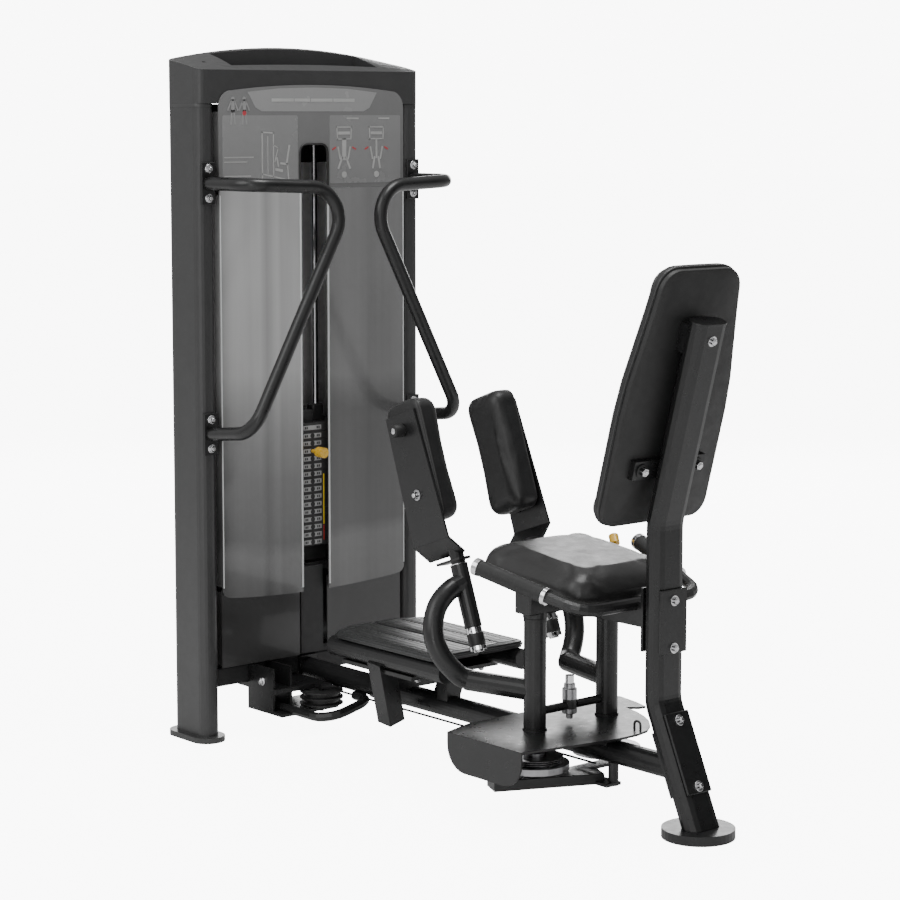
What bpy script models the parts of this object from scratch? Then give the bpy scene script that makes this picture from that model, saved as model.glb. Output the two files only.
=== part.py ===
"""Hip abductor machine (selectorised inner / outer thigh machine).

Frame: metres, +Z up, origin on the floor under the middle of the machine's box.
The seated user faces +Y, toward the weight tower; +X is the user's right.
Every piece is built in layout coordinates and the whole is shifted by OFF_Y at the end.
"""
import math

import bpy
import bmesh
from mathutils import Matrix, Vector

# ---------------------------------------------------------------- driving dimensions (m)
GAP = 0.0003            # clearance between touching pieces
# tower
UP_X = 0.3015           # upright centre
UP_W = 0.049            # upright width across
UP_Y0, UP_Y1 = 0.006, 0.132
UP_TOP = 1.4785
PLATE_T = 0.012         # foot plate thickness
CAP_Z0, CAP_FRONT, CAP_BACK, CAP_RISE = 1.4788, 1.5555, 1.579, 0.032
SH_Y0, SH_Y1 = 0.0008, 0.0038
SH_X0, SH_X1 = 0.0385, 0.2715
SH_Z0, SH_Z1 = 0.322, 1.2815
STACK_Y = 0.062         # middle of the plates, front to back
PLATE_N, PLATE_PITCH = 15, 0.0183
STACK_Z0 = 0.4285
PINNED = 3              # plates above the selector pin
ROD_X, ROD_R = 0.046, 0.0078   # guide rods
TRAVEL = 0.28           # lift of the stack
# base
BEAM_Z, BEAM_R = 0.129, 0.025
RAIL_X, RAIL_Z, RAIL_R = 0.1125, 0.2405, 0.023
TREAD_TOP = 0.281
COL_X, COL_Y, COL_R = 0.105, -0.889, 0.0238
DECK_Z = 0.168
# arms
ARM_Z, ARM_R = 0.2505, 0.0228
ARM_END = (0.1455, -0.720)
SHAFT_X, SHAFT_LEAN = 0.110, math.radians(20.5)
SHAFT_P = (SHAFT_X, -0.698, 0.357)      # lower end of the slanted sleeve
PAD_IN, PAD_T, PAD_W, PAD_L = 0.080, 0.0645, 0.118, 0.272
# seat and back
SEAT_TILT = math.radians(6.5)
SEAT_C = (0.0, -0.912, 0.5075)          # middle of the cushion
POST_Y, POST_W, POST_D = -1.163, 0.088, 0.045
LEAN = math.radians(15.3)
DISC_Y, DISC_R = -1.266, 0.0755
OFF_Y = 0.5945

# ---------------------------------------------------------------- start clean
for o in list(bpy.data.objects):
    bpy.data.objects.remove(o, do_unlink=True)
for c in list(bpy.data.collections):
    bpy.data.collections.remove(c)
MAIN = bpy.data.collections.new("hip_abductor_machine")
CUT = bpy.data.collections.new("cutters")
bpy.context.scene.collection.children.link(MAIN)
bpy.context.scene.collection.children.link(CUT)

MATS = {
    "frame": ((0.045, 0.046, 0.047), 0.48, 0.0),
    "frame_dark": ((0.02, 0.02, 0.021), 0.5, 0.0),
    "shield": ((0.16, 0.16, 0.165), 0.18, 0.0),
    "chrome": ((0.8, 0.8, 0.8), 0.12, 1.0),
    "steel": ((0.6, 0.6, 0.6), 0.3, 1.0),
    "iron": ((0.05, 0.05, 0.05), 0.55, 0.6),
    "vinyl": ((0.03, 0.03, 0.031), 0.5, 0.0),
    "rubber": ((0.02, 0.02, 0.02), 0.75, 0.0),
    "nylon": ((0.03, 0.03, 0.03), 0.4, 0.0),
    "yellow": ((0.75, 0.48, 0.03), 0.3, 0.0),
}


def material(name, kind):
    col, rough, metal = MATS[kind]
    m = bpy.data.materials.new(name + "_mat")
    m.use_nodes = True
    b = m.node_tree.nodes["Principled BSDF"]
    b.inputs["Base Color"].default_value = (*col, 1)
    b.inputs["Roughness"].default_value = rough
    b.inputs["Metallic"].default_value = metal
    return m


# ---------------------------------------------------------------- helpers
def obj_from_bm(bm, name, col=CUT):
    bmesh.ops.recalc_face_normals(bm, faces=bm.faces[:])
    me = bpy.data.meshes.new(name)
    bm.to_mesh(me)
    bm.free()
    o = bpy.data.objects.new(name, me)
    col.objects.link(o)
    return o


def box(name, lo, hi, bevel=0.0, segs=2):
    """Axis-aligned block with optional rounded edges."""
    bm = bmesh.new()
    bmesh.ops.create_cube(bm, size=1.0)
    for v in bm.verts:
        v.co = Vector([lo[i] + (v.co[i] + 0.5) * (hi[i] - lo[i]) for i in range(3)])
    if bevel:
        bmesh.ops.bevel(bm, geom=bm.edges[:], offset=bevel, segments=segs, affect="EDGES", profile=0.5)
    return obj_from_bm(bm, name)


def cyl(name, p0, p1, r, seg=20, r2=None):
    """Round bar from p0 to p1."""
    p0, p1 = Vector(p0), Vector(p1)
    d = p1 - p0
    bm = bmesh.new()
    bmesh.ops.create_cone(bm, cap_ends=True, segments=seg, radius1=r, radius2=r if r2 is None else r2, depth=d.length)
    q = Vector((0, 0, 1)).rotation_difference(d.normalized())
    bm.transform(Matrix.Translation((p0 + p1) / 2) @ q.to_matrix().to_4x4())
    return obj_from_bm(bm, name)


def hexagon(name, p0, p1, r):
    return cyl(name, p0, p1, r, seg=6)


def fillet(pts, radii, step=math.radians(18)):
    """Polyline through pts with its corners rounded to the given radii."""
    pts = [Vector(p) for p in pts]
    out = [pts[0]]
    for i in range(1, len(pts) - 1):
        r = radii[i - 1]
        a, b = (pts[i - 1] - pts[i]).normalized(), (pts[i + 1] - pts[i]).normalized()
        ang = a.angle(b)
        if r <= 0 or abs(ang - math.pi) < 1e-3:
            out.append(pts[i])
            continue
        t = r / math.tan(ang / 2)
        c = pts[i] + (a + b).normalized() * (r / math.sin(ang / 2))
        s, e = pts[i] + a * t, pts[i] + b * t
        n = max(2, int(round((math.pi - ang) / step)))
        u, w = (s - c).normalized(), (e - c).normalized()
        tot = u.angle(w)
        for k in range(n + 1):
            f = k / n
            v = (u * math.sin((1 - f) * tot) + w * math.sin(f * tot)) / math.sin(tot)
            out.append(c + v * r)
    out.append(pts[-1])
    return out


def to_mesh(o, name):
    """The evaluated curve as a closed mesh object."""
    dg = bpy.context.evaluated_depsgraph_get()
    dg.update()
    me = bpy.data.meshes.new_from_object(o.evaluated_get(dg), depsgraph=dg)
    bm = bmesh.new()
    bm.from_mesh(me)
    bm.transform(o.matrix_world)
    bmesh.ops.remove_doubles(bm, verts=bm.verts[:], dist=1e-5)
    bpy.data.objects.remove(o, do_unlink=True)
    return obj_from_bm(bm, name)


def tube(name, pts, r, res=3):
    """Bent round tube along a polyline."""
    cu = bpy.data.curves.new(name + "_path", "CURVE")
    cu.dimensions = "3D"
    cu.bevel_depth = r
    cu.bevel_resolution = res
    cu.use_fill_caps = True
    sp = cu.splines.new("POLY")
    sp.points.add(len(pts) - 1)
    for p, q in zip(sp.points, pts):
        p.co = (*q, 1)
    o = bpy.data.objects.new(name + "_path", cu)
    CUT.objects.link(o)
    return to_mesh(o, name)


def outline(name, pts2, thick, matrix):
    """Flat plate: closed 2D outline, thickness centred on its plane."""
    cu = bpy.data.curves.new(name + "_outline", "CURVE")
    cu.dimensions = "2D"
    cu.fill_mode = "BOTH"
    cu.extrude = thick / 2
    sp = cu.splines.new("POLY")
    sp.points.add(len(pts2) - 1)
    for p, q in zip(sp.points, pts2):
        p.co = (q[0], q[1], 0, 1)
    sp.use_cyclic_u = True
    o = bpy.data.objects.new(name + "_outline", cu)
    CUT.objects.link(o)
    o.matrix_world = matrix
    return to_mesh(o, name)


def rounded(w, h, r, n=4, cx=0.0, cy=0.0):
    """Rounded rectangle, counter-clockwise."""
    out = []
    for sx, sy, a0 in ((1, 1, 0), (-1, 1, 90), (-1, -1, 180), (1, -1, 270)):
        for k in range(n + 1):
            a = math.radians(a0 + 90 * k / n)
            out.append((cx + sx * (w / 2 - r) + r * math.cos(a), cy + sy * (h / 2 - r) + r * math.sin(a)))
    return out


def frame_xy(z):
    """Plate lying flat at height z."""
    return Matrix.Translation((0, 0, z))


def frame_xz(y):
    """Plate standing in the XZ plane at depth y."""
    return Matrix.Translation((0, y, 0)) @ Matrix.Rotation(math.radians(90), 4, "X")


def frame_yz(x):
    """Plate standing in the YZ plane: local x -> +Y, local y -> +Z."""
    return Matrix(((0, 0, 1, x), (1, 0, 0, 0), (0, 1, 0, 0), (0, 0, 0, 1)))


def boolean(o, other, op="UNION"):
    m = o.modifiers.new(op.lower(), "BOOLEAN")
    m.operation = op
    m.solver = "EXACT"
    m.object = other
    if op == "UNION":
        m.use_self = False
    other.hide_render = True
    other.display_type = "WIRE"
    return o


def apply_mods(o):
    dg = bpy.context.evaluated_depsgraph_get()
    dg.update()
    me = bpy.data.meshes.new_from_object(o.evaluated_get(dg), depsgraph=dg)
    o.modifiers.clear()
    o.data = me
    return o


def union(name, *objs):
    a = objs[0]
    a.name = name
    for b in objs[1:]:
        boolean(a, b)
    return a


def cut(o, *cutters):
    for c in cutters:
        boolean(o, c, "DIFFERENCE")
    return o


def group(name, *objs):
    """Identical separate solids kept in one node."""
    bm = bmesh.new()
    dg = bpy.context.evaluated_depsgraph_get()
    dg.update()
    for o in objs:
        me = bpy.data.meshes.new_from_object(o.evaluated_get(dg), depsgraph=dg)
        bm.from_mesh(me)
        bpy.data.objects.remove(o, do_unlink=True)
    me = bpy.data.meshes.new(name)
    bm.to_mesh(me)
    bm.free()
    g = bpy.data.objects.new(name, me)
    CUT.objects.link(g)
    return g


def mirror_x(o, name):
    """A separate copy on the other side of the machine."""
    dg = bpy.context.evaluated_depsgraph_get()
    dg.update()
    me = bpy.data.meshes.new_from_object(o.evaluated_get(dg), depsgraph=dg)
    bm = bmesh.new()
    bm.from_mesh(me)
    bmesh.ops.scale(bm, vec=(-1, 1, 1), verts=bm.verts[:])
    bmesh.ops.reverse_faces(bm, faces=bm.faces[:])
    return obj_from_bm(bm, name)


NODES = []


def node(o, name, kind, origin=None, smooth=True):
    """Make an object a named sub-part with its own material and an origin on its joint axis."""
    o.name = name
    o.data.name = name
    for c in list(o.users_collection):
        c.objects.unlink(o)
    MAIN.objects.link(o)
    o.hide_render = False
    o.display_type = "TEXTURED"
    o.data.materials.clear()
    o.data.materials.append(material(name, kind))
    if origin is not None:
        v = Vector(origin)
        o.data.transform(Matrix.Translation(-v))
        o.location = v
    if smooth:
        o.data.shade_smooth()
        o.data.set_sharp_from_angle(angle=math.radians(35))
    NODES.append(o)
    return o


def side(x, s):
    return x * s


# ================================================================ tower frame
def upright(s, name):
    o = outline(name, rounded(UP_W, UP_Y1 - UP_Y0, 0.0205, 5, s * UP_X, (UP_Y0 + UP_Y1) / 2), UP_TOP - PLATE_T - GAP,
                frame_xy((UP_TOP + PLATE_T + GAP) / 2))
    boolean(o, outline("fp", rounded(0.080, 0.165, 0.0385, 6, s * UP_X, 0.070), PLATE_T + 0.001, frame_xy((PLATE_T + 0.001) / 2)))
    # 3 mm tube wall, closed by the foot plate and open at the top under the cap
    cut(o, outline("bore", rounded(UP_W - 0.006, UP_Y1 - UP_Y0 - 0.006, 0.0175, 5, s * UP_X, (UP_Y0 + UP_Y1) / 2), UP_TOP + 0.010 - (PLATE_T + 0.004),
                   frame_xy((UP_TOP + 0.010 + PLATE_T + 0.004) / 2)))
    apply_mods(o)
    return node(o, name, "frame")


upright(-1, "left_upright")
upright(1, "right_upright")


def cap_top(x, y):
    """Height of the hood: level front edge, arched and higher at the back."""
    f = (y - 0.0045) / (0.1335 - 0.0045)
    f = f * (1.35 - 0.35 * f)
    arch = CAP_RISE * (1 - (x / 0.326) ** 2)
    return CAP_FRONT + f * (CAP_BACK - CAP_FRONT + arch)


bm = bmesh.new()
bmesh.ops.create_grid(bm, x_segments=16, y_segments=5, size=0.5)
for v in bm.verts:
    v.co = Vector((v.co.x * 2 * 0.326, 0.0045 + (v.co.y + 0.5) * 0.129, CAP_Z0))
r = bmesh.ops.extrude_face_region(bm, geom=bm.faces[:])
for v in [g for g in r["geom"] if isinstance(g, bmesh.types.BMVert)]:
    v.co.z = cap_top(v.co.x, v.co.y)
cap = obj_from_bm(bm, "tower_cap")
boolean(cap, outline("cap_outer", rounded(0.652, 0.129, 0.0210, 6, 0, 0.069), 0.200, frame_xy(1.560)), "INTERSECT")
cut(cap, outline("cap_hollow", rounded(0.645, 0.122, 0.0175, 6, 0, 0.069), 0.1185, frame_xy(1.45925)),
    box("cap_recess", (-0.214, 0.0295, 1.5183), (0.214, 0.1195, 1.70), 0.0),
    cyl("cap_lock", (-0.268, 0.062, 1.53), (-0.268, 0.062, 1.63), 0.0045, 12))
apply_mods(cap)
node(cap, "tower_cap", "frame")
tray = box("cap_tray", (-0.2137, 0.0298, 1.5188), (0.2137, 0.1192, 1.5590))
cut(tray, box("tray_hollow", (-0.2107, 0.0328, 1.5218), (0.2107, 0.1162, 1.70)))
apply_mods(tray)
node(tray, "cap_tray", "frame_dark")


def arc_edge(x0, x1, z_end, z_mid, half, n=8):
    """Points of a shallow arc edge, from x0 to x1."""
    return [(x0 + (x1 - x0) * k / n, z_mid + (z_end - z_mid) * ((x0 + (x1 - x0) * k / n) / half) ** 2) for k in range(n + 1)]


def corner(cx, cz, r, a0, a1, n=4):
    return [(cx + r * math.cos(math.radians(a0 + (a1 - a0) * k / n)), cz + r * math.sin(math.radians(a0 + (a1 - a0) * k / n))) for k in range(n + 1)]


SHY = (SH_Y0 + SH_Y1) / 2
SHT = SH_Y1 - SH_Y0
pts = [(-SH_X1, SH_Z1)] + corner(-SH_X1 + 0.018, SH_Z0 + 0.032, 0.018, 180, 262) + arc_edge(-SH_X1 + 0.030, -SH_X0, SH_Z0 + 0.0125, SH_Z0 + 0.001, 0.25, 5) + [(-SH_X0, SH_Z1)]
sh = union("left_shield", outline("shl", [(p[0], p[1]) for p in pts], SHT, frame_xz(SHY)),
           box("shl_rib", (-0.2665, SH_Y1 - 0.001, 0.36), (-0.2635, 0.0352, 1.27)),
           box("shl_foot", (-0.2767, 0.0322, 0.36), (-0.2640, 0.0352, 1.27)))
apply_mods(sh)
rsh = mirror_x(sh, "right_shield")
node(sh, "left_shield", "shield")
node(rsh, "right_shield", "shield")

ptop = [(-SH_X1, 1.2818)]
slot = [(-0.040, 1.2818), (-0.040, 1.366)] + corner(-0.022, 1.366, 0.018, 180, 90, 3) + corner(0.022, 1.366, 0.018, 90, 0, 3) + [(0.040, 1.2818)]
pl = ptop + slot + [(SH_X1, 1.2818)] + corner(SH_X1 - 0.040, 1.470, 0.040, 0, 72, 5) + arc_edge(0.212, -0.212, 1.5115, 1.5225, 0.212, 8) + corner(-SH_X1 + 0.040, 1.470, 0.040, 108, 180, 5)
pc = outline("placard_panel", pl, SHT, frame_xz(SHY))
pc = union("placard_panel", pc, box("pc_ribl", (-0.2665, SH_Y1 - 0.001, 1.29), (-0.2635, 0.0352, 1.46)),
           box("pc_footl", (-0.2767, 0.0322, 1.29), (-0.2640, 0.0352, 1.46)),
           box("pc_ribr", (0.2635, SH_Y1 - 0.001, 1.29), (0.2665, 0.0352, 1.46)),
           box("pc_footr", (0.2640, 0.0322, 1.29), (0.2767, 0.0352, 1.46)))
apply_mods(pc)
node(pc, "placard_panel", "shield")
kp = union("kick", box("kick_a", (-0.268, 0.0125, 0.1685), (-0.0415, 0.0155, 0.352)), box("kick_r", (-0.2665, 0.0150, 0.172), (-0.2635, 0.0352, 0.348)),
           box("kick_f", (-0.2767, 0.0322, 0.172), (-0.2640, 0.0352, 0.348)))
apply_mods(kp)
kp2 = mirror_x(kp, "kick2")
node(kp, "left_kick_panel", "frame_dark")
node(kp2, "right_kick_panel", "frame_dark")
rs = union("rear_shroud", box("rs_a", (-0.2765, 0.1285, 0.1650), (0.2765, 0.1315, 1.4780)),
           box("rs_b", (-0.2765, 0.110, 0.1650), (-0.2735, 0.1300, 1.4780)), box("rs_c", (0.2735, 0.110, 0.1650), (0.2765, 0.1300, 1.4780)))
apply_mods(rs)
node(rs, "rear_shroud", "frame_dark")
tc = box("top_crossbar", (-UP_X + UP_W / 2 + GAP, 0.0372, 1.4350), (UP_X - UP_W / 2 - GAP, 0.0868, 1.4750), 0.003, 2)
for s in (-1, 1):
    cut(tc, cyl("rod_hole", (s * ROD_X, STACK_Y, 1.40), (s * ROD_X, STACK_Y, 1.462), ROD_R + GAP, 16))

# ================================================================ weight stack
pd = box("base_crossbar", (-UP_X + UP_W / 2 + GAP, 0.040, 0.1175), (UP_X - UP_W / 2 - GAP, 0.085, 0.1625), 0.004, 2)
pd = union("base_crossbar", pd, box("pd_base", (-0.140, 0.0420, 0.1500), (0.140, 0.0830, 0.1790)), box("pd_col", (-0.033, 0.018, 0.1700), (0.033, 0.100, 0.3800)),
           box("pd_top", (-0.140, 0.030, 0.3650), (0.140, 0.094, 0.3850)))
for s in (-1, 1):
    cut(pd, cyl("pd_hole", (s * ROD_X, STACK_Y, 0.176), (s * ROD_X, STACK_Y, 0.40), ROD_R + GAP, 16))
cut(pd, cyl("pd_bore", (0, STACK_Y, 0.20), (0, STACK_Y, 0.42), 0.0125, 16))
apply_mods(pd)
node(pd, "base_crossbar", "frame_dark")
for s, nm in ((-1, "left_guide_rod"), (1, "right_guide_rod")):
    node(cyl(nm, (s * ROD_X, STACK_Y, 0.1795), (s * ROD_X, STACK_Y, 1.460), ROD_R, 16), nm, "chrome")


def ring(name, c, r_out, r_in, z0, z1, seg=20):
    o = cyl(name, (c[0], c[1], z0), (c[0], c[1], z1), r_out, seg)
    cut(o, cyl(name + "_bore", (c[0], c[1], z0 - 0.01), (c[0], c[1], z1 + 0.01), r_in, seg))
    return apply_mods(o)


bp = box("stack_bumper", (-0.066, 0.044, 0.3853), (0.066, 0.080, STACK_Z0 - GAP), 0.004, 2)
cut(bp, cyl("bp_c", (0, STACK_Y, 0.37), (0, STACK_Y, 0.44), 0.0125, 16), *[cyl("bp_h", (s * ROD_X, STACK_Y, 0.37), (s * ROD_X, STACK_Y, 0.44), 0.0083, 16) for s in (-1, 1)])
apply_mods(bp)
node(bp, "stack_bumper", "rubber")


def plates(name, k0, k1):
    """Plates k0..k1-1 resting on each other: one solid with a groove at every joint."""
    bm = bmesh.new()
    rings = []
    for k in range(k0, k1):
        z0, z1 = STACK_Z0 + k * PLATE_PITCH, STACK_Z0 + (k + 1) * PLATE_PITCH
        for z, i in ((z0 + (GAP if k == k0 else 0), 0.0012), (z0 + 0.0014, 0.0), (z1 - 0.0014, 0.0), (z1, 0.0012))[0 if k == k0 else 1:]:
            rings.append([bm.verts.new(q) for q in ((-0.150 + i, 0.0135 + i, z), (0.150 - i, 0.0135 + i, z), (0.150 - i, 0.1105 - i, z), (-0.150 + i, 0.1105 - i, z))])
    for a, c in zip(rings, rings[1:]):
        for j in range(4):
            bm.faces.new((a[j], a[(j + 1) % 4], c[(j + 1) % 4], c[j]))
    bm.faces.new(rings[0])
    bm.faces.new(list(reversed(rings[-1])))
    o = obj_from_bm(bm, name)
    z0, z1 = STACK_Z0 + k0 * PLATE_PITCH - 0.01, STACK_Z0 + k1 * PLATE_PITCH + 0.01
    for x, r in ((-ROD_X, 0.0092), (ROD_X, 0.0092), (0, 0.0119)):
        cut(o, cyl("h", (x, STACK_Y, z0), (x, STACK_Y, z1), r, 12))
    for k in range(k0, k1):
        cut(o, cyl("hp", (0, 0.000, STACK_Z0 + k * PLATE_PITCH + 0.0092), (0, STACK_Y, STACK_Z0 + k * PLATE_PITCH + 0.0092), 0.0052, 10))
    return apply_mods(o)


node(plates("resting_plates", 0, PLATE_N - PINNED), "resting_plates", "iron")
node(plates("lifted_plates", PLATE_N - PINNED, PLATE_N), "lifted_plates", "iron")
HEAD_Z = STACK_Z0 + PLATE_N * PLATE_PITCH
hd = box("stack_head", (-0.150, 0.0135, HEAD_Z + GAP), (0.150, 0.1105, HEAD_Z + 0.0215), 0.0012, 1)
hd = union("stack_head", hd, box("hd_block", (-0.0225, 0.036, HEAD_Z + 0.015), (0.0225, 0.088, HEAD_Z + 0.050), 0.003, 1),
           box("hd_bl", (-0.0620, 0.049, HEAD_Z + 0.015), (-0.0300, 0.075, HEAD_Z + 0.061), 0.003, 1),
           box("hd_br", (0.0300, 0.049, HEAD_Z + 0.015), (0.0620, 0.075, HEAD_Z + 0.061), 0.003, 1))
for s in (-1, 1):
    cut(hd, cyl("hh", (s * ROD_X, STACK_Y, HEAD_Z - 0.01), (s * ROD_X, STACK_Y, HEAD_Z + 0.08), 0.0092, 16))
cut(hd, cyl("hb", (0, STACK_Y, HEAD_Z - 0.01), (0, STACK_Y, HEAD_Z + 0.08), 0.0119, 12))
apply_mods(hd)
node(hd, "stack_head", "iron")
# hollow selector rod: the lifting cable drops into it as the stack rises
sr = cyl("selector_rod", (0, STACK_Y, STACK_Z0 - 0.020), (0, STACK_Y, HEAD_Z + 0.060), 0.0112, 16)
cut(sr, cyl("sr_bore", (0, STACK_Y, STACK_Z0 - 0.05), (0, STACK_Y, HEAD_Z + 0.10), 0.0062, 12))
for k in range(PLATE_N):
    z = STACK_Z0 + k * PLATE_PITCH + 0.0092
    cut(sr, cyl("sr_pin", (0, 0.02, z), (0, STACK_Y, z), 0.0052, 10))
apply_mods(sr)
node(sr, "selector_rod", "chrome")
PIN_Z = STACK_Z0 + (PLATE_N - PINNED) * PLATE_PITCH + 0.0092
pin = union("selector_pin", cyl("pin", (0, -0.012, PIN_Z), (0, STACK_Y - 0.0075, PIN_Z), 0.0046, 12),
            cyl("knob", (0, -0.034, PIN_Z), (0, -0.010, PIN_Z), 0.0125, 20), cyl("collar", (0, -0.0105, PIN_Z), (0, -0.004, PIN_Z), 0.0085, 16))
apply_mods(pin)
node(pin, "selector_pin", "yellow", origin=(0, 0, PIN_Z))

# ================================================================ cable and pulleys
CAB_R = 0.0025
TP = (0.0, STACK_Y + 0.0300, 1.385)       # top pulley axle, axis along X
CAB_Z = 0.092                             # run under the main beam
IDLER = (0.0, 0.1070, CAB_Z + 0.0150)     # small idler that turns the cable forward
BP = (-0.0450, -0.0750, 0.0850)           # flat double pulley, axis along Z


def groove(name, centre, axis, r_in, r_out, w_in, w_out, seg=28):
    """Ring-shaped cutter that turns the rope groove of a pulley."""
    prof = [(r_in, -w_in), (r_out, -w_out), (r_out, w_out), (r_in, w_in)]
    b = bmesh.new()
    vs = [b.verts.new((p[0], 0, p[1])) for p in prof]
    for i in range(4):
        b.edges.new((vs[i], vs[(i + 1) % 4]))
    bmesh.ops.spin(b, geom=b.verts[:] + b.edges[:], cent=(0, 0, 0), axis=(0, 0, 1), angle=math.tau, steps=seg, use_merge=True)
    bmesh.ops.remove_doubles(b, verts=b.verts[:], dist=1e-6)
    q = Vector((0, 0, 1)).rotation_difference(Vector(axis))
    b.transform(Matrix.Translation(centre) @ q.to_matrix().to_4x4())
    return obj_from_bm(b, name)


def pulley(name, c, axis, r, half, r_bore, grooves, depth, seg=28):
    a = Vector(axis)
    o = cyl(name, Vector(c) - a * half, Vector(c) + a * half, r, seg)
    cut(o, cyl(name + "_bore", Vector(c) - a * 0.05, Vector(c) + a * 0.05, r_bore, 12))
    for off in grooves:
        cut(o, groove(name + "_groove", Vector(c) + a * off, axis, r - depth, r + 0.01, 0.0031, 0.0085, seg))
    return apply_mods(o)


node(pulley("top_pulley", TP, (1, 0, 0), 0.0325, 0.010, 0.0065, (0.0,), 0.0057), "top_pulley", "nylon", origin=TP)
tb = union("top_crossbar", tc, box("tb_l", (-0.0170, TP[1] - 0.0155, 1.3700), (-0.0125, TP[1] + 0.0155, 1.4347)),
           box("tb_r", (0.0125, TP[1] - 0.0155, 1.3700), (0.0170, TP[1] + 0.0155, 1.4347)),
           cyl("tb_axle", (-0.0155, TP[1], TP[2]), (0.0155, TP[1], TP[2]), 0.0060, 12),
           box("tb_bridge", (-0.0170, 0.0480, 1.4300), (0.0170, TP[1] + 0.0155, 1.4400)))
apply_mods(tb)
node(tb, "top_crossbar", "frame")
node(pulley("base_pulley", BP, (0, 0, 1), 0.0515, 0.0165, 0.0065, (0.0070, -0.0080), 0.0098), "base_pulley", "nylon", origin=BP)

arc = lambda c, r, a0, a1, n: [(0.0, c[1] + r * math.cos(math.radians(a0 + (a1 - a0) * k / n)), c[2] + r * math.sin(math.radians(a0 + (a1 - a0) * k / n))) for k in range(n + 1)]
RT, RI = 0.0300, 0.0150
path = [(0.0, STACK_Y, HEAD_Z + 0.020), (0.0, STACK_Y, 1.0)] + arc(TP, RT, 180, 0, 10) + [(0.0, TP[1] + RT, 0.7)]
low_y = TP[1] + RT
path += [(0.0, IDLER[1] + RI, 0.25)] + arc(IDLER, RI, 0, -90, 5) + [(0.0, -0.30, CAB_Z), (0.0, -0.60, CAB_Z), (0.0, -0.965, CAB_Z)]
node(tube("lift_cable", path, CAB_R, 1), "lift_cable", "rubber")

# bracket under the base crossbar: carries the flat pulley, the idler and the bent guard
gp = fillet([(-0.1460, 0.0350, 0.0700), (-0.1460, -0.2280, 0.0700), (-0.0200, -0.2280, 0.1000), (-0.0200, -0.1700, 0.1000)], [0.055, 0.030])
pb = union("pulley_guard", tube("pg_tube", gp, 0.0110, 2),
           box("pg_top", (-0.176, -0.0700, 0.1062), (-0.0265, 0.0800, 0.1172)),
           box("pg_pl1", (-0.176, -0.0600, 0.0580), (-0.1700, 0.0395, 0.1650)),
           box("pg_pl2", (-0.126, -0.0600, 0.0580), (-0.1200, 0.0395, 0.1650)),
           box("pg_low", (-0.176, -0.0950, 0.0560), (-0.0100, 0.0395, 0.0640)),
           cyl("pg_axle", (BP[0], BP[1], 0.0500), (BP[0], BP[1], 0.1140), 0.0060, 12),
           box("pg_arm", (-0.060, -0.0950, 0.1062), (-0.0300, -0.0600, 0.1172)),
           box("pg_idl", (-0.0165, 0.0600, 0.0980), (-0.0095, 0.1130, 0.1168)),
           box("pg_join", (-0.0600, 0.0600, 0.1080), (-0.0100, 0.0750, 0.1172)),
           cyl("pg_iax", (-0.0100, IDLER[1], IDLER[2]), (-0.0070, IDLER[1], IDLER[2]), 0.0100, 12),
           pulley("cable_idler", IDLER, (1, 0, 0), 0.0180, 0.0082, 0.0001, (0.0,), 0.0062, 20))
apply_mods(pb)
node(pb, "pulley_guard", "frame")

# ================================================================ fasteners
def bolt(p, d, r=0.0105, h=0.0085):
    """Washer and hexagon head, standing off p along d."""
    p, d = Vector(p), Vector(d).normalized()
    o = union("bolt", cyl("w", p - d * 0.0010, p + d * 0.0022, r, 14), hexagon("hx", p + d * 0.0012, p + d * h, r * 0.72))
    return apply_mods(o)


# ================================================================ handrails
RAIL_TUBE = 0.0145


def handrail(name):
    p = [(-0.3015, 0.0045, 1.2980), (-0.3015, -0.150, 1.2980), (-0.0140, -0.173, 1.2870), (-0.3050, -0.168, 0.7420), (-0.3015, 0.0045, 0.7240)]
    o = tube(name, fillet(p, [0.055, 0.075, 0.060], math.radians(20)), RAIL_TUBE, 2)
    for zc in (1.2980, 0.7240):
        boolean(o, box(name + "_plate", (-0.3200, 0.0000, zc - 0.0480), (-0.2830, 0.0055, zc + 0.0480), 0.001, 1))
        for dz in (0.0335, -0.0335):
            boolean(o, bolt((-0.3015, 0.0002, zc + dz), (0, -1, 0), 0.0095, 0.010))
    return apply_mods(o)


hl = handrail("left_handrail")
hr = mirror_x(hl, "right_handrail")
node(hl, "left_handrail", "frame")
node(hr, "right_handrail", "frame")

# ================================================================ base: main beam, rails, treads
LEG_A = Vector((0, POST_Y, 0.262))
LEG_B = Vector((0, -1.2720, 0.0205))
leg_dir = (LEG_B - LEG_A).normalized()
leg_n = Vector((0, -leg_dir.z, leg_dir.y))            # points to the front and up
if leg_n.y < 0:
    leg_n = -leg_n
TOP_A = Vector((0, POST_Y, 0.632))
up_dir = Vector((0, -math.sin(LEAN), math.cos(LEAN)))
up_n = Vector((0, math.cos(LEAN), math.sin(LEAN)))
TOP_B = TOP_A + up_dir * 0.430


def local_box(name, origin, xdir, ydir, zdir, lo, hi, bevel=0.0, segs=2):
    o = box(name, lo, hi, bevel, segs)
    m = Matrix((xdir, ydir, zdir)).transposed().to_4x4()
    m.translation = origin
    o.data.transform(m)
    if m.to_3x3().determinant() < 0:
        o.data.flip_normals()
    return o


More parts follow.
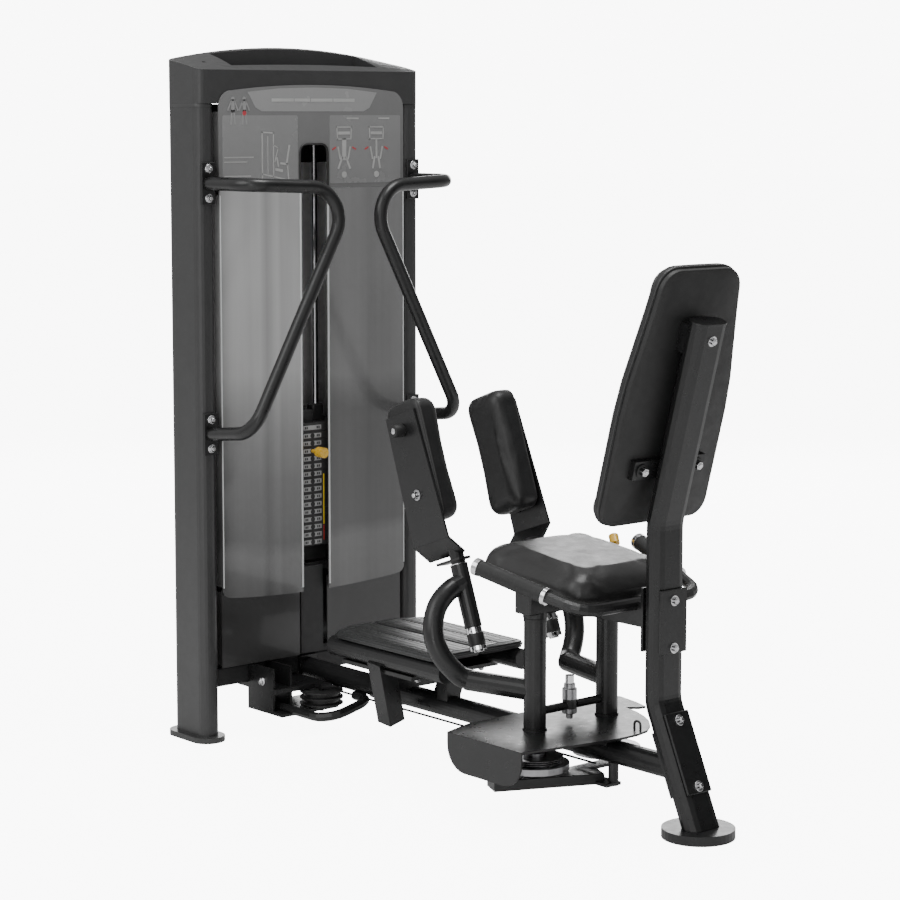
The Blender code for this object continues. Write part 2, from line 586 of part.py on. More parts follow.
X, Y, Z = Vector((1, 0, 0)), Vector((0, 1, 0)), Vector((0, 0, 1))
LEG_M = LEG_A + (LEG_B - LEG_A) * 0.5                  # middle of the leg
beam = cyl("main_beam", (0, 0.0397, BEAM_Z), (0, -1.26, BEAM_Z), BEAM_R, 24)
cut(beam, local_box("beam_trim", LEG_M, X, leg_n, leg_dir, (-0.2, -0.4, -0.5), (0.2, POST_D / 2 + GAP, 0.5)))
boolean(beam, local_box("beam_flange", LEG_M, X, leg_n, leg_dir, (-0.030, POST_D / 2 + GAP, -0.075), (0.030, POST_D / 2 + 0.0065, 0.062)))
boolean(beam, box("beam_front", (-0.026, 0.0340, 0.1130), (0.026, 0.0397, 0.1600)))
apply_mods(beam)
node(beam, "main_beam", "frame")
for s, nm in ((-1, "left_tread"), (1, "right_tread")):
    w = 0.1300
    t = outline(nm, rounded(w, 0.386, 0.022, 4, s * (w / 2 + 0.0030), -0.4050), TREAD_TOP - 0.2640, frame_xy((TREAD_TOP + 0.2640) / 2))
    node(t, nm, "rubber")
st = []
for s in (-1, 1):
    d = Vector((s * -0.040, 0.013, -0.140)).normalized()
    yd = d.cross(X).normalized()
    xd = yd.cross(d).normalized()
    st.append(local_box("strut", Vector((s * 0.115, -0.388, 0.222)), xd, yd, d, (-0.0215, -0.0225, -0.012), (0.0215, 0.0225, 0.142)))
br = union("tread_bracket", st[0], st[1], box("tie_a", (-0.100, -0.3980, 0.1600), (0.100, -0.3780, 0.1900)),
           box("strip_a", (-0.128, -0.5100, 0.2080), (0.128, -0.3700, 0.2172)), box("strip_b", (-0.128, -0.3800, 0.2080), (0.128, -0.2600, 0.2172)),
           box("blk_a", (-0.020, -0.5050, 0.1300), (0.020, -0.4700, 0.2150)), box("blk_b", (-0.020, -0.2950, 0.1300), (0.020, -0.2650, 0.2150)))
cut(br, cyl("beam_clear", (0, 0.2, BEAM_Z), (0, -1.3, BEAM_Z), BEAM_R + GAP, 24))
for s in (-1, 1):
    boolean(br, cyl("rail", (s * RAIL_X, -0.213, RAIL_Z), (s * RAIL_X, -0.612, RAIL_Z), RAIL_R, 20))
    for y in (-0.490, -0.280):
        boolean(br, bolt((s * 0.094, y, 0.2085), (0, 0, -1), 0.0090, 0.009))
apply_mods(br)
node(br, "tread_frame", "frame")

# ================================================================ deck and lower tie bar
dk = [(-0.2590, -1.0170), (-0.2100, -1.0260), (-0.1690, -1.0340), (-0.1000, -1.0480), (-0.0280, -1.0600), (0.0300, -1.0590), (0.0690, -1.0490), (0.1050, -1.0220),
      (0.1330, -0.9900), (0.1530, -0.9560), (0.1700, -0.9150), (0.1800, -0.8700), (0.2020, -0.8900), (0.2200, -0.8930), (0.2330, -0.8500), (0.2440, -0.7900), (0.2300, -0.7600),
      (-0.1800, -0.7600), (-0.1930, -0.7640), (-0.2590, -0.7850)]
deck = outline("deck_plate", dk, 0.005, frame_xy(DECK_Z - 0.0025))
sk = [(-0.7850, DECK_Z), (-1.0170, DECK_Z), (-1.0170, 0.1430)] + [(-1.0170 + 0.055 - 0.055 * math.cos(math.radians(a)), 0.1430 - 0.055 * math.sin(math.radians(a))) for a in (15, 30, 45, 60, 75, 90)] \
    + [(-0.7850 - 0.055 + 0.055 * math.cos(math.radians(a)), 0.1430 - 0.055 * math.sin(math.radians(a))) for a in (90, 75, 60, 45, 30, 15)] + [(-0.7850, 0.1430)]
boolean(deck, outline("deck_skirt", sk, 0.004, frame_yz(-0.2572)))
boolean(deck, box("deck_pad", (-0.022, -1.0200, 0.1300), (0.022, -0.8000, 0.1650)))
cut(deck, cyl("beam_clear2", (0, 0.2, BEAM_Z), (0, -1.3, BEAM_Z), BEAM_R + GAP, 24))
for s in (-1, 1):
    boolean(deck, cyl("deck_boss", (s * COL_X, COL_Y, 0.1660), (s * COL_X, COL_Y, 0.1719), 0.0262, 20))
    cut(deck, cyl("deck_hole", (s * COL_X, COL_Y, 0.10), (s * COL_X, COL_Y, 0.20), 0.0152, 16))
boolean(deck, tube("deck_eye", fillet([(0.058, -1.0400, 0.1660), (0.058, -1.0400, 0.1860), (0.058, -1.0220, 0.1860), (0.058, -1.0220, 0.1660)], [0.0085, 0.0085]), 0.0026, 1))
apply_mods(deck)
node(deck, "deck_plate", "frame")
A, B = Vector((-0.2200, -0.8790, 0)), Vector((0.0000, -0.9800, 0))
bd = (B - A).normalized()
bn = Vector((-bd.y, bd.x, 0))
tie = local_box("deck_tie_bar", A, bd, bn, Z, (0, -0.027, 0.0570), ((B - A).length, 0.027, 0.0800), 0.001, 1)
boolean(tie, box("tie_lug", (-0.030, -1.0300, 0.0570), (0.012, -0.9500, 0.0640)))
boolean(tie, cyl("tie_post", (0, -1.0190, 0.0560), (0, -1.0190, 0.1200), 0.0110, 16))
boolean(tie, box("tie_cross", (-0.140, -0.9060, 0.0570), (0.140, -0.8720, 0.0640)))
cut(tie, cyl("beam_clear3", (0, 0.2, BEAM_Z), (0, -1.3, BEAM_Z), BEAM_R + GAP, 24))
apply_mods(tie)
node(tie, "deck_tie_bar", "frame")


# ================================================================ arms
def catmull(pts, n=2):
    """Smooth curve through the points."""
    p = [Vector(q) for q in pts]
    p = [p[0] * 2 - p[1]] + p + [p[-1] * 2 - p[-2]]
    out = []
    for i in range(1, len(p) - 2):
        for k in range(n):
            t = k / n
            out.append(0.5 * ((2 * p[i]) + (p[i + 1] - p[i - 1]) * t + (2 * p[i - 1] - 5 * p[i] + 4 * p[i + 1] - p[i + 2]) * t * t
                              + (3 * p[i] - p[i - 1] - 3 * p[i + 1] + p[i + 2]) * t ** 3))
    out.append(p[-2])
    return out


SH_D = Vector((0, math.sin(SHAFT_LEAN), math.cos(SHAFT_LEAN)))


def on_shaft(s, t):
    return Vector((s * SHAFT_X, SHAFT_P[1], SHAFT_P[2])) + SH_D * t


def build_arm(s, name):
    o = cyl(name, (s * COL_X, COL_Y, 0.1723), (s * COL_X, COL_Y, 0.4075), COL_R, 24)
    c = [(0.1400, -0.7290, 0.2505), (0.1590, -0.7144, 0.2586), (0.1781, -0.7037, 0.2788), (0.1939, -0.6925, 0.3028), (0.2022, -0.6825, 0.3280), (0.2035, -0.6753, 0.3504),
         (0.1993, -0.6696, 0.3705), (0.1915, -0.6650, 0.3905), (0.1785, -0.6613, 0.4097), (0.1578, -0.6605, 0.4290), (0.1347, -0.6615, 0.4429), (0.1130, -0.6625, 0.4510)]
    union(name, o, cyl(name + "_sh", (s * COL_X, COL_Y, 0.0803), (s * COL_X, COL_Y, 0.1760), 0.0145, 16),
          cyl(name + "_st", (s * COL_X, COL_Y, 0.4040), (s * COL_X, COL_Y, 0.4175), 0.0120, 16),
          cyl(name + "_tb", (s * COL_X, COL_Y, ARM_Z), (s * ARM_END[0], ARM_END[1], ARM_Z), ARM_R, 20),
          tube(name + "_c", [(s * q[0], q[1], q[2]) for q in c], 0.0215, 3),
          cyl(name + "_sl", on_shaft(s, 0.0), on_shaft(s, 0.1385), 0.0190, 20))
    if s < 0:
        boolean(o, cyl(name + "_rod", (s * COL_X, COL_Y, 0.2050), (-0.0120, COL_Y, 0.2050), 0.0090, 14))
        boolean(o, cyl("lock_body", (-0.005, COL_Y, 0.1880), (-0.005, COL_Y, 0.2420), 0.0155, 16))
        boolean(o, cyl("lock_neck", (-0.005, COL_Y, 0.2300), (-0.005, COL_Y, 0.2520), 0.0120, 16))
        cut(o, cyl("lock_bore", (-0.005, COL_Y, 0.18), (-0.005, COL_Y, 0.27), 0.0054, 12))
        cut(o, cyl("lock_counterbore", (-0.005, COL_Y, 0.18), (-0.005, COL_Y, 0.2050), 0.0086, 16))
    else:
        boolean(o, cyl(name + "_rod", (s * COL_X, COL_Y, 0.2050), (0.0120, COL_Y, 0.2050), 0.0090, 14))
    cut(o, cyl(name + "_bore", on_shaft(s, -0.02), on_shaft(s, 0.16), 0.0118, 16))
    apply_mods(o)
    return node(o, name, "frame", origin=(s * COL_X, COL_Y, ARM_Z))


build_arm(-1, "left_arm")
build_arm(1, "right_arm")
for s, nm in ((-1, "left_cam"), (1, "right_cam")):
    c = cyl(nm, (s * COL_X, COL_Y, 0.0850), (s * COL_X, COL_Y, 0.0990), 0.0740, 36)
    boolean(c, cyl(nm + "_hub", (s * COL_X, COL_Y, 0.0850), (s * COL_X, COL_Y, 0.1200), 0.0240, 20))
    for k in range(5):
        a = math.radians(36 + 72 * k)
        q = (s * COL_X + 0.050 * math.cos(a), COL_Y + 0.050 * math.sin(a))
        cut(c, cyl(nm + "_h%d" % k, (q[0], q[1], 0.07), (q[0], q[1], 0.11), 0.0115, 12))
    cut(c, cyl(nm + "_bore", (s * COL_X, COL_Y, 0.07), (s * COL_X, COL_Y, 0.13), 0.0148, 16))
    apply_mods(c)
    node(c, nm, "steel", origin=(s * COL_X, COL_Y, 0.092))
ap = union("arm_plunger", cyl("ap", (-0.005, COL_Y, 0.1765), (-0.005, COL_Y, 0.2600), 0.0048, 12), cyl("ap_k", (-0.005, COL_Y, 0.2530), (-0.005, COL_Y, 0.2700), 0.0095, 16),
           cyl("ap_n", (-0.005, COL_Y, 0.1765), (-0.005, COL_Y, 0.1865), 0.0075, 12))
apply_mods(ap)
node(ap, "arm_plunger", "chrome", origin=(-0.005, COL_Y, 0.21))

# ================================================================ swivelling thigh pads
PL_DIR = Vector((0, math.sin(math.radians(20)), math.cos(math.radians(20))))
PL_SIDE = Vector((0, math.cos(math.radians(20)), -math.sin(math.radians(20))))
for s, side_name in ((-1, "left"), (1, "right")):
    P = lambda t: on_shaft(s, t)
    node(cyl("sh", P(-0.0540), P(0.1417), 0.0110, 16), side_name + "_pad_shaft", "chrome", origin=P(0))
    co = union("pc", cyl("c1", P(-0.0130), P(-0.0010), 0.0170, 20), cyl("c2", P(-0.0440), P(-0.0120), 0.0177, 20), cyl("c3", P(-0.0500), P(-0.0420), 0.0185, 20))
    cut(co, cyl("c_b", P(-0.07), P(0.02), 0.0113, 16))
    apply_mods(co)
    node(co, side_name + "_pad_collars", "chrome", origin=P(0))
    corners = [(-0.6606, 0.5514), (-0.5444, 0.5108), (-0.4490, 0.7870), (-0.4720, 0.7965), (-0.5200, 0.8130), (-0.5420, 0.8210)]
    pk = outline(side_name + "_pk", corners, 0.0050, frame_yz(s * 0.1475))
    e = Vector((0, 0.1162, -0.0406)).normalized()
    g = Vector((0, -0.330, -0.944)).normalized()
    b = (g + Vector((-s, 0, 0))).normalized()
    n = e.cross(b).normalized()
    boolean(pk, local_box("pk_fl", Vector((s * 0.1475, -0.6025, 0.5331)), e, b, n, (-0.0610, -0.0020, -0.0026), (0.0610, 0.0500, 0.0026)))
    boolean(pk, cyl("pk_hub", P(0.1420), P(0.1740), 0.0160, 16))
    boolean(pk, local_box("pk_tab", P(0.1500), X, e, e.cross(X), (-0.016, -0.025, -0.003), (0.016, 0.055, 0.003)))
    boolean(pk, cyl("kb1", (s * 0.1490, -0.5060, 0.7690), (s * 0.1620, -0.5060, 0.7690), 0.0130, 16))
    boolean(pk, cyl("kb2", (s * 0.1560, -0.5060, 0.7690), (s * 0.1760, -0.5060, 0.7690), 0.0100, 16))
    boolean(pk, bolt((s * 0.1502, -0.5570, 0.6320), (s, 0, 0), 0.0120, 0.010))
    apply_mods(pk)
    node(pk, side_name + "_pad_bracket", "frame", origin=P(0))
    pad = local_box("pad", Vector((s * 0.11225, -0.5350, 0.7000)), X, PL_SIDE, PL_DIR, (-0.0324, -0.0590, -0.1360), (0.0324, 0.0590, 0.1360), 0.014, 3)
    node(pad, side_name + "_thigh_pad", "vinyl", origin=P(0))

# ================================================================ rear post and foot
def section(w, d, n=6):
    """Flat oval: straight sides along X, half-round ends."""
    out = []
    for cx, a0 in ((w / 2 - d / 2, -90), (-(w / 2 - d / 2), 90)):
        for k in range(n + 1):
            a = math.radians(a0 + 180 * k / n)
            out.append((cx + d / 2 * math.cos(a), d / 2 * math.sin(a)))
    return out


def loft(name, path, w, d):
    """Flat-oval tube swept along a path in the YZ plane."""
    bm = bmesh.new()
    sec = section(w, d)
    rings = []
    for i, p in enumerate(path):
        t0 = (path[i] - path[i - 1]).normalized() if i else (path[1] - path[0]).normalized()
        t1 = (path[i + 1] - path[i]).normalized() if i < len(path) - 1 else t0
        t = (t0 + t1).normalized()
        k = 1 / max(0.5, t.dot(t0))
        nrm = Vector((0, t.z, -t.y))
        rings.append([bm.verts.new(p + Vector((q[0], 0, 0)) + nrm * q[1] * k) for q in sec])
    m = len(sec)
    for a, c in zip(rings, rings[1:]):
        for j in range(m):
            bm.faces.new((a[j], a[(j + 1) % m], c[(j + 1) % m], c[j]))
    bm.faces.new(rings[0])
    bm.faces.new(list(reversed(rings[-1])))
    return obj_from_bm(bm, name)


low_end = LEG_B + leg_dir * 0.03
post = loft("rear_post", fillet([low_end, LEG_A, TOP_A, TOP_B], [0.070, 0.090], math.radians(7)), POST_W, POST_D)
cut(post, box("post_foot_cut", (-0.2, -1.5, -0.1), (0.2, -1.0, 0.0203)))
boolean(post, outline("post_cap", section(POST_W + 0.0015, POST_D + 0.0015, 8), 0.004, Matrix.Translation(TOP_B + up_dir * 0.0010) @ Matrix.Rotation(LEAN, 4, "X")))
boolean(post, local_box("bk_a", Vector((0, -1.165, 0.6445)), X, up_n, -up_dir, (-0.0400, 0.0, -0.4100), (0.0400, 0.0317, -0.3500)))
boolean(post, local_box("bk_b", Vector((0, -1.165, 0.6445)), X, up_n, -up_dir, (-0.1000, POST_D / 2 - 0.004, -0.1200), (0.1000, 0.0317, -0.0800)))
boolean(post, local_box("bk_c", Vector((0, -1.165, 0.6445)), X, up_n, -up_dir, (-0.0200, 0.0, -0.4000), (0.0200, 0.0317, -0.1000)))
P_O = Vector((0, -1.165, 0.6445))
boolean(post, bolt(P_O + up_dir * 0.385 - up_n * (POST_D / 2 - 0.0005), -up_n))
for s in (-1, 1):
    boolean(post, bolt(P_O + X * (s * 0.078) + up_dir * 0.100 + up_n * (POST_D / 2 - 0.0042), -up_n, 0.0140, 0.012))
apply_mods(post)
node(post, "rear_post", "frame")
disc = cyl("foot_disc", (0, DISC_Y, 0), (0, DISC_Y, 0.0200), DISC_R, 40)
node(disc, "foot_disc", "frame")
PR = POST_Y - POST_D / 2
pp = box("upper_post_plate", (-0.038, PR - GAP - 0.0060, 0.366), (0.038, PR - GAP, 0.498), 0.0015, 1)
for z in (0.475, 0.377):
    boolean(pp, bolt((0, PR - GAP - 0.0058, z), (0, -1, 0)))
apply_mods(pp)
node(pp, "upper_post_plate", "frame")
pp2 = local_box("lower_post_plate", LEG_A, X, leg_n, leg_dir, (-0.034, -POST_D / 2 - GAP - 0.0060, 0.030), (0.034, -POST_D / 2 - GAP, 0.200), 0.0015, 1)
for t in (0.048, 0.186):
    boolean(pp2, bolt(LEG_A + leg_dir * t - leg_n * (POST_D / 2 + GAP + 0.0058), -leg_n))
apply_mods(pp2)
node(pp2, "lower_post_plate", "frame")

# ================================================================ seat
TS = math.radians(6.7)
S_O = Vector((0, -0.915, 0.5085))
SY, SZ = Vector((0, math.cos(TS), math.sin(TS))), Vector((0, -math.sin(TS), math.cos(TS)))
sf = union("seat_frame", box("sf_x", (-0.1425, -0.9150, 0.4180), (0.1425, -0.8650, 0.4680), 0.003, 1), box("sf_y", (-0.0250, -1.1402, 0.4120), (0.0250, -0.8900, 0.4640)),
           box("sf_fl", (-0.0380, -1.1402, 0.3660), (0.0380, -1.1342, 0.4980)),
           box("sf_sp", (-0.1000, -1.0350, 0.4300), (0.1000, -1.0050, 0.4700)))
cut(sf, local_box("sf_cut", S_O, X, SY, SZ, (-0.30, -0.1640, -0.0462), (0.30, 0.30, 0.2)))
hp = [Vector(q) for q in ((-0.236, -0.851, 0.526), (-0.167, -1.101, 0.4575), (0.167, -1.101, 0.4575), (0.236, -0.851, 0.526))]
for s in (-1, 1):
    boolean(sf, cyl("sf_boss", (s * COL_X, COL_Y, 0.4079), (s * COL_X, COL_Y, 0.4250), 0.0262, 20))
    cut(sf, cyl("sf_bore", (s * COL_X, COL_Y, 0.39), (s * COL_X, COL_Y, 0.4180), 0.0125, 16))
cut(sf, tube("handle_clear", fillet(hp, [0.058, 0.058], math.radians(15)), 0.0130 + 0.0004, 3))
boolean(sf, local_box("sf_board", S_O, X, SY, SZ, (-0.1350, -0.1450, -0.0480), (0.1350, 0.1450, -0.0338)))
apply_mods(sf)
node(sf, "seat_frame", "frame")
node(local_box("seat_cushion", S_O, X, SY, SZ, (-0.1500, -0.1600, -0.0335), (0.1500, 0.1600, 0.0335), 0.016, 3), "seat_cushion", "vinyl")
sh_ = tube("seat_handle", fillet(hp, [0.058, 0.058], math.radians(15)), 0.0130, 3)
for s, nm in ((-1, "left_grip"), (1, "right_grip")):
    a, b = Vector((s * 0.236, -0.851, 0.526)), Vector((s * 0.167, -1.101, 0.4575))
    d = (b - a).normalized()
    boolean(sh_, cyl("ge1", a - d * 0.002, a + d * 0.0100, 0.0180, 18))
    boolean(sh_, cyl("ge2", a + d * 0.1705, a + d * 0.1800, 0.0180, 18))
    o = cyl(nm, a + d * 0.0105, a + d * 0.1700, 0.0168, 18)
    cut(o, cyl("g_b", a - d * 0.02, a + d * 0.20, 0.0134, 16))
    node(apply_mods(o), nm, "rubber")
apply_mods(sh_)
node(sh_, "seat_handle", "frame")
LV = Vector((0.1505, -0.8900, 0.4430))
kn = Vector((0.1925, -0.8200, 0.5260))
kd = (kn - LV).normalized()
lv = union("release_lever", cyl("lv_hub", (0.1428, LV.y, LV.z), (0.1600, LV.y, LV.z), 0.0100, 16), cyl("lv_rod", LV + kd * 0.002, kn, 0.0042, 10), cyl("lv_k", kn - kd * 0.006, kn + kd * 0.016, 0.0110, 18))
apply_mods(lv)
node(lv, "release_lever", "yellow", origin=LV)

# ================================================================ backrest
B_O = Vector((0, -1.165, 0.6445))


def back_outline(inset):
    i = inset
    pts = corner(0.110 - i, -0.027 + 0.040 + i, 0.040, 270, 360, 4)
    pts = [(q[0], q[1]) for q in pts] + [(0.150 - i, 0.220), (0.1435 - i, 0.290), (0.133 - i, 0.350), (0.120 - i, 0.430)]
    pts += corner(0.0660 - i, 0.470 - i, 0.048, 8, 90, 5)
    return pts + [(-q[0], q[1]) for q in reversed(pts)]


BM = Matrix((X, up_dir, X.cross(up_dir))).transposed().to_4x4()


def back_plate(name, inset, n0, n1):
    m = BM.copy()
    m.translation = B_O + up_n * (n0 + n1) / 2
    return outline(name, back_outline(inset), n1 - n0, m)


node(back_plate("backrest_board", 0.004, 0.0320, 0.0430), "backrest_board", "frame_dark")
node(back_plate("backrest_cushion", 0.0, 0.0433, 0.0820), "backrest_cushion", "vinyl")



# ================================================================ finish: shared frame and helper objects
for o in NODES:
    o.location.y += OFF_Y
for o in CUT.objects:
    o.hide_render = True
    o.display_type = "WIRE"
bpy.context.view_layer.update()
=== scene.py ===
"""Hip abductor machine: looks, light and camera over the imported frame."""
import math

import bpy
import bmesh
from mathutils import Matrix, Vector


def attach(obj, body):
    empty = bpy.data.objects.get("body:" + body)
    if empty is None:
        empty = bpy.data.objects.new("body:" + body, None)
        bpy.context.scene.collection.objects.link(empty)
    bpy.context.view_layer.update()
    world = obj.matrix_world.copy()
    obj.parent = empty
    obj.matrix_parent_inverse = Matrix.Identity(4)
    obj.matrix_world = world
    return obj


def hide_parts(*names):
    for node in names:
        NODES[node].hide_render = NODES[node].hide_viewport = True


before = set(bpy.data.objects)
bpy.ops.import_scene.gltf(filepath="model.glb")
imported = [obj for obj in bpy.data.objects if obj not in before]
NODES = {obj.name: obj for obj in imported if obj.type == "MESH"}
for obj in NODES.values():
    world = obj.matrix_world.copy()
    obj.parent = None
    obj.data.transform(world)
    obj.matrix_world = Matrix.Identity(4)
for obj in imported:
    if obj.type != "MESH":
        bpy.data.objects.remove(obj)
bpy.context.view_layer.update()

OFF = 0.5945                      # layout depth to row frame
scene = bpy.context.scene


def L(x, y, z):
    """Layout coordinates to the row frame."""
    return Vector((x, y + OFF, z))


# ------------------------------------------------------------------ materials
def new_mat(name):
    m = bpy.data.materials.new(name)
    m.use_nodes = True
    nt = m.node_tree
    return m, nt, nt.nodes["Principled BSDF"]


def link(nt, a, b):
    nt.links.new(a, b)


def noise(nt, co, scale, detail=4.0, rough=0.55):
    n = nt.nodes.new("ShaderNodeTexNoise")
    n.inputs["Scale"].default_value = scale
    n.inputs["Detail"].default_value = detail
    n.inputs["Roughness"].default_value = rough
    link(nt, co, n.inputs["Vector"])
    return n.outputs["Fac"]


def ramp(nt, fac, stops):
    r = nt.nodes.new("ShaderNodeValToRGB")
    e = r.color_ramp.elements
    while len(e) < len(stops):
        e.new(0.5)
    for el, (p, c) in zip(e, stops):
        el.position = p
        el.color = (*c, 1) if isinstance(c, tuple) else (c, c, c, 1)
    link(nt, fac, r.inputs["Fac"])
    return r.outputs["Color"]


def rng(nt, v, a, b, c, d):
    n = nt.nodes.new("ShaderNodeMapRange")
    for k, x in zip(("From Min", "From Max", "To Min", "To Max"), (a, b, c, d)):
        n.inputs[k].default_value = x
    link(nt, v, n.inputs["Value"])
    return n.outputs["Result"]


def bump(nt, height, strength, dist, normal=None):
    b = nt.nodes.new("ShaderNodeBump")
    b.inputs["Strength"].default_value = strength
    b.inputs["Distance"].default_value = dist
    link(nt, height, b.inputs["Height"])
    if normal is not None:
        link(nt, normal, b.inputs["Normal"])
    return b.outputs["Normal"]


def tex(nt, kind="Object"):
    return nt.nodes.new("ShaderNodeTexCoord").outputs[kind]


def surface(name, col, rough, metal=0.0, var=0.12, vscale=18, grain=900, gstr=0.12, gdist=0.0002, edge=0.0012, rvar=0.05, coat=0.0, spec=None):
    """Painted, plated or moulded surface: fine grain, slow colour drift, softened edges."""
    m, nt, b = new_mat(name)
    co = tex(nt)
    c0 = tuple(x * (1 - var) for x in col)
    c1 = tuple(x * (1 + var) for x in col)
    link(nt, ramp(nt, noise(nt, co, vscale), [(0.3, c0), (0.7, c1)]), b.inputs["Base Color"])
    link(nt, rng(nt, noise(nt, co, vscale * 3.1), 0.3, 0.7, rough - rvar, rough + rvar), b.inputs["Roughness"])
    bev = nt.nodes.new("ShaderNodeBevel")
    bev.samples = 3
    bev.inputs["Radius"].default_value = edge
    link(nt, bump(nt, noise(nt, co, grain, 2.0), gstr, gdist, bev.outputs["Normal"]), b.inputs["Normal"])
    b.inputs["Metallic"].default_value = metal
    if coat:
        b.inputs["Coat Weight"].default_value = coat
        b.inputs["Coat Roughness"].default_value = 0.08
    if spec is not None:
        b.inputs["Specular IOR Level"].default_value = spec
    return m


def vinyl(name, col, rough=0.46):
    """Upholstery vinyl: leather grain, broad soft creases, a little sheen."""
    m, nt, b = new_mat(name)
    co = tex(nt)
    v = nt.nodes.new("ShaderNodeTexVoronoi")
    v.feature = "DISTANCE_TO_EDGE"
    v.inputs["Scale"].default_value = 620
    link(nt, co, v.inputs["Vector"])
    cells = ramp(nt, v.outputs["Distance"], [(0.0, 0.0), (0.22, 1.0)])
    n1 = bump(nt, noise(nt, co, 16, 3.0), 0.22, 0.0035)
    n2 = bump(nt, cells, 0.22, 0.0002, n1)
    link(nt, bump(nt, noise(nt, co, 1500, 2.0), 0.10, 0.0001, n2), b.inputs["Normal"])
    c0, c1 = tuple(x * 0.82 for x in col), tuple(x * 1.18 for x in col)
    link(nt, ramp(nt, noise(nt, co, 9, 4.0), [(0.3, c0), (0.7, c1)]), b.inputs["Base Color"])
    link(nt, rng(nt, noise(nt, co, 40), 0.3, 0.7, rough - 0.06, rough + 0.06), b.inputs["Roughness"])
    b.inputs["Sheen Weight"].default_value = 0.12
    b.inputs["Sheen Roughness"].default_value = 0.4
    return m


FRAME = surface("powder_coat", (0.0105, 0.0106, 0.0108), 0.31, var=0.08, grain=1400, gstr=0.16, rvar=0.05)
# Lighter copy of the frame's black paint for the uprights, cap and upright bands: painted light, the same paint made
# lighter to stand in for the light on the tower's sides.
FRAME_PAINTED_LIT = surface("powder_coat_painted_lit", (0.038, 0.0382, 0.0385), 0.36, var=0.06, grain=1400, gstr=0.14, rvar=0.04)
DARK = surface("dark_sheet", (0.020, 0.020, 0.0205), 0.50, var=0.1, grain=1100, gstr=0.12)
BLACK = surface("black_fitting", (0.012, 0.012, 0.012), 0.42, var=0.15, grain=1200)
CHROME = surface("chrome", (0.80, 0.80, 0.81), 0.10, metal=1.0, var=0.03, grain=500, gstr=0.03, rvar=0.03, edge=0.0006)
ZINC = surface("zinc_bolt", (0.72, 0.72, 0.73), 0.24, metal=1.0, var=0.06, grain=700, gstr=0.05, rvar=0.06, edge=0.0005)
STEEL = surface("brushed_steel", (0.42, 0.42, 0.43), 0.34, metal=1.0, var=0.08, grain=600, gstr=0.08)
IRON = surface("plate_iron", (0.022, 0.022, 0.022), 0.45, var=0.2, grain=500, gstr=0.2, gdist=0.0003, edge=0.0008)
RUBBER = surface("rubber", (0.014, 0.014, 0.014), 0.58, var=0.15, grain=1300, gstr=0.2)
TREAD = surface("tread_rubber", (0.030, 0.031, 0.031), 0.36, var=0.12, vscale=30, grain=800, gstr=0.25)
NYLON = surface("nylon", (0.018, 0.018, 0.018), 0.38, var=0.12)
YELLOW = surface("yellow_knob", (0.72, 0.42, 0.030), 0.28, var=0.10, vscale=60, grain=500, gstr=0.05, coat=0.5)
YSTRIP = surface("yellow_strip", (0.80, 0.55, 0.02), 0.45, var=0.05)
RSTRIP = surface("red_strip", (0.35, 0.02, 0.015), 0.45, var=0.05)
EDGE = surface("polished_edge", (0.62, 0.63, 0.63), 0.14, var=0.05, grain=300, gstr=0.02, coat=0.6)
LABEL = surface("label_silver", (0.30, 0.30, 0.30), 0.40, var=0.06, vscale=60, grain=700, gstr=0.04)
INK = surface("label_ink", (0.008, 0.008, 0.008), 0.5, var=0.05, edge=0.0001)
VINYL = vinyl("vinyl_black", (0.008, 0.008, 0.0082), 0.40)
VINYL_SEAT = vinyl("vinyl_seat", (0.016, 0.0158, 0.0156), 0.34)
VINYL_BACK = vinyl("vinyl_back", (0.010, 0.010, 0.010), 0.50)
PIPING = surface("piping", (0.030, 0.030, 0.030), 0.36, var=0.1, grain=900, gstr=0.12)
STITCH = surface("stitch", (0.055, 0.055, 0.055), 0.6, var=0.1)


def panel(name, zstops, xstops, rough=0.16, streak=0.10):
    """Tinted glossy sheet: slow vertical fade, soft upright bands, painted into the colour; on the shields and the slot
    sheet the fade and bands are painted reflections.
    """
    m, nt, b = new_mat(name)
    co = tex(nt)
    s = nt.nodes.new("ShaderNodeSeparateXYZ")
    link(nt, co, s.inputs["Vector"])
    wob = noise(nt, co, 3.0, 2.0)
    add = nt.nodes.new("ShaderNodeMath")
    add.operation = "MULTIPLY_ADD"
    link(nt, wob, add.inputs[0])
    add.inputs[1].default_value = 0.10
    link(nt, s.outputs["Z"], add.inputs[2])
    cz = ramp(nt, rng(nt, add.outputs[0], 0.35, 1.60, 0.0, 1.0), [((z - 0.30) / 1.25, v) for z, v in zstops])
    cx = ramp(nt, rng(nt, s.outputs["X"], -0.28, 0.28, 0.0, 1.0), [((x + 0.28) / 0.56, v) for x, v in xstops])
    mul = nt.nodes.new("ShaderNodeMixRGB")
    mul.blend_type = "MULTIPLY"
    mul.inputs["Fac"].default_value = 1.0
    link(nt, cz, mul.inputs["Color1"])
    link(nt, cx, mul.inputs["Color2"])
    mp = nt.nodes.new("ShaderNodeMapping")
    mp.inputs["Scale"].default_value = (34, 1, 1.2)
    link(nt, co, mp.inputs["Vector"])
    st = ramp(nt, noise(nt, mp.outputs["Vector"], 1.0, 3.0), [(0.3, 1 - streak), (0.7, 1.0)])
    mul2 = nt.nodes.new("ShaderNodeMixRGB")
    mul2.blend_type = "MULTIPLY"
    mul2.inputs["Fac"].default_value = 1.0
    link(nt, mul.outputs["Color"], mul2.inputs["Color1"])
    link(nt, st, mul2.inputs["Color2"])
    link(nt, mul2.outputs["Color"], b.inputs["Base Color"])
    link(nt, rng(nt, noise(nt, co, 12), 0.3, 0.7, rough - 0.04, rough + 0.04), b.inputs["Roughness"])
    link(nt, bump(nt, noise(nt, co, 5.0, 1.0), 0.03, 0.004), b.inputs["Normal"])
    b.inputs["Coat Weight"].default_value = 0.3
    b.inputs["Coat Roughness"].default_value = 0.05
    return m
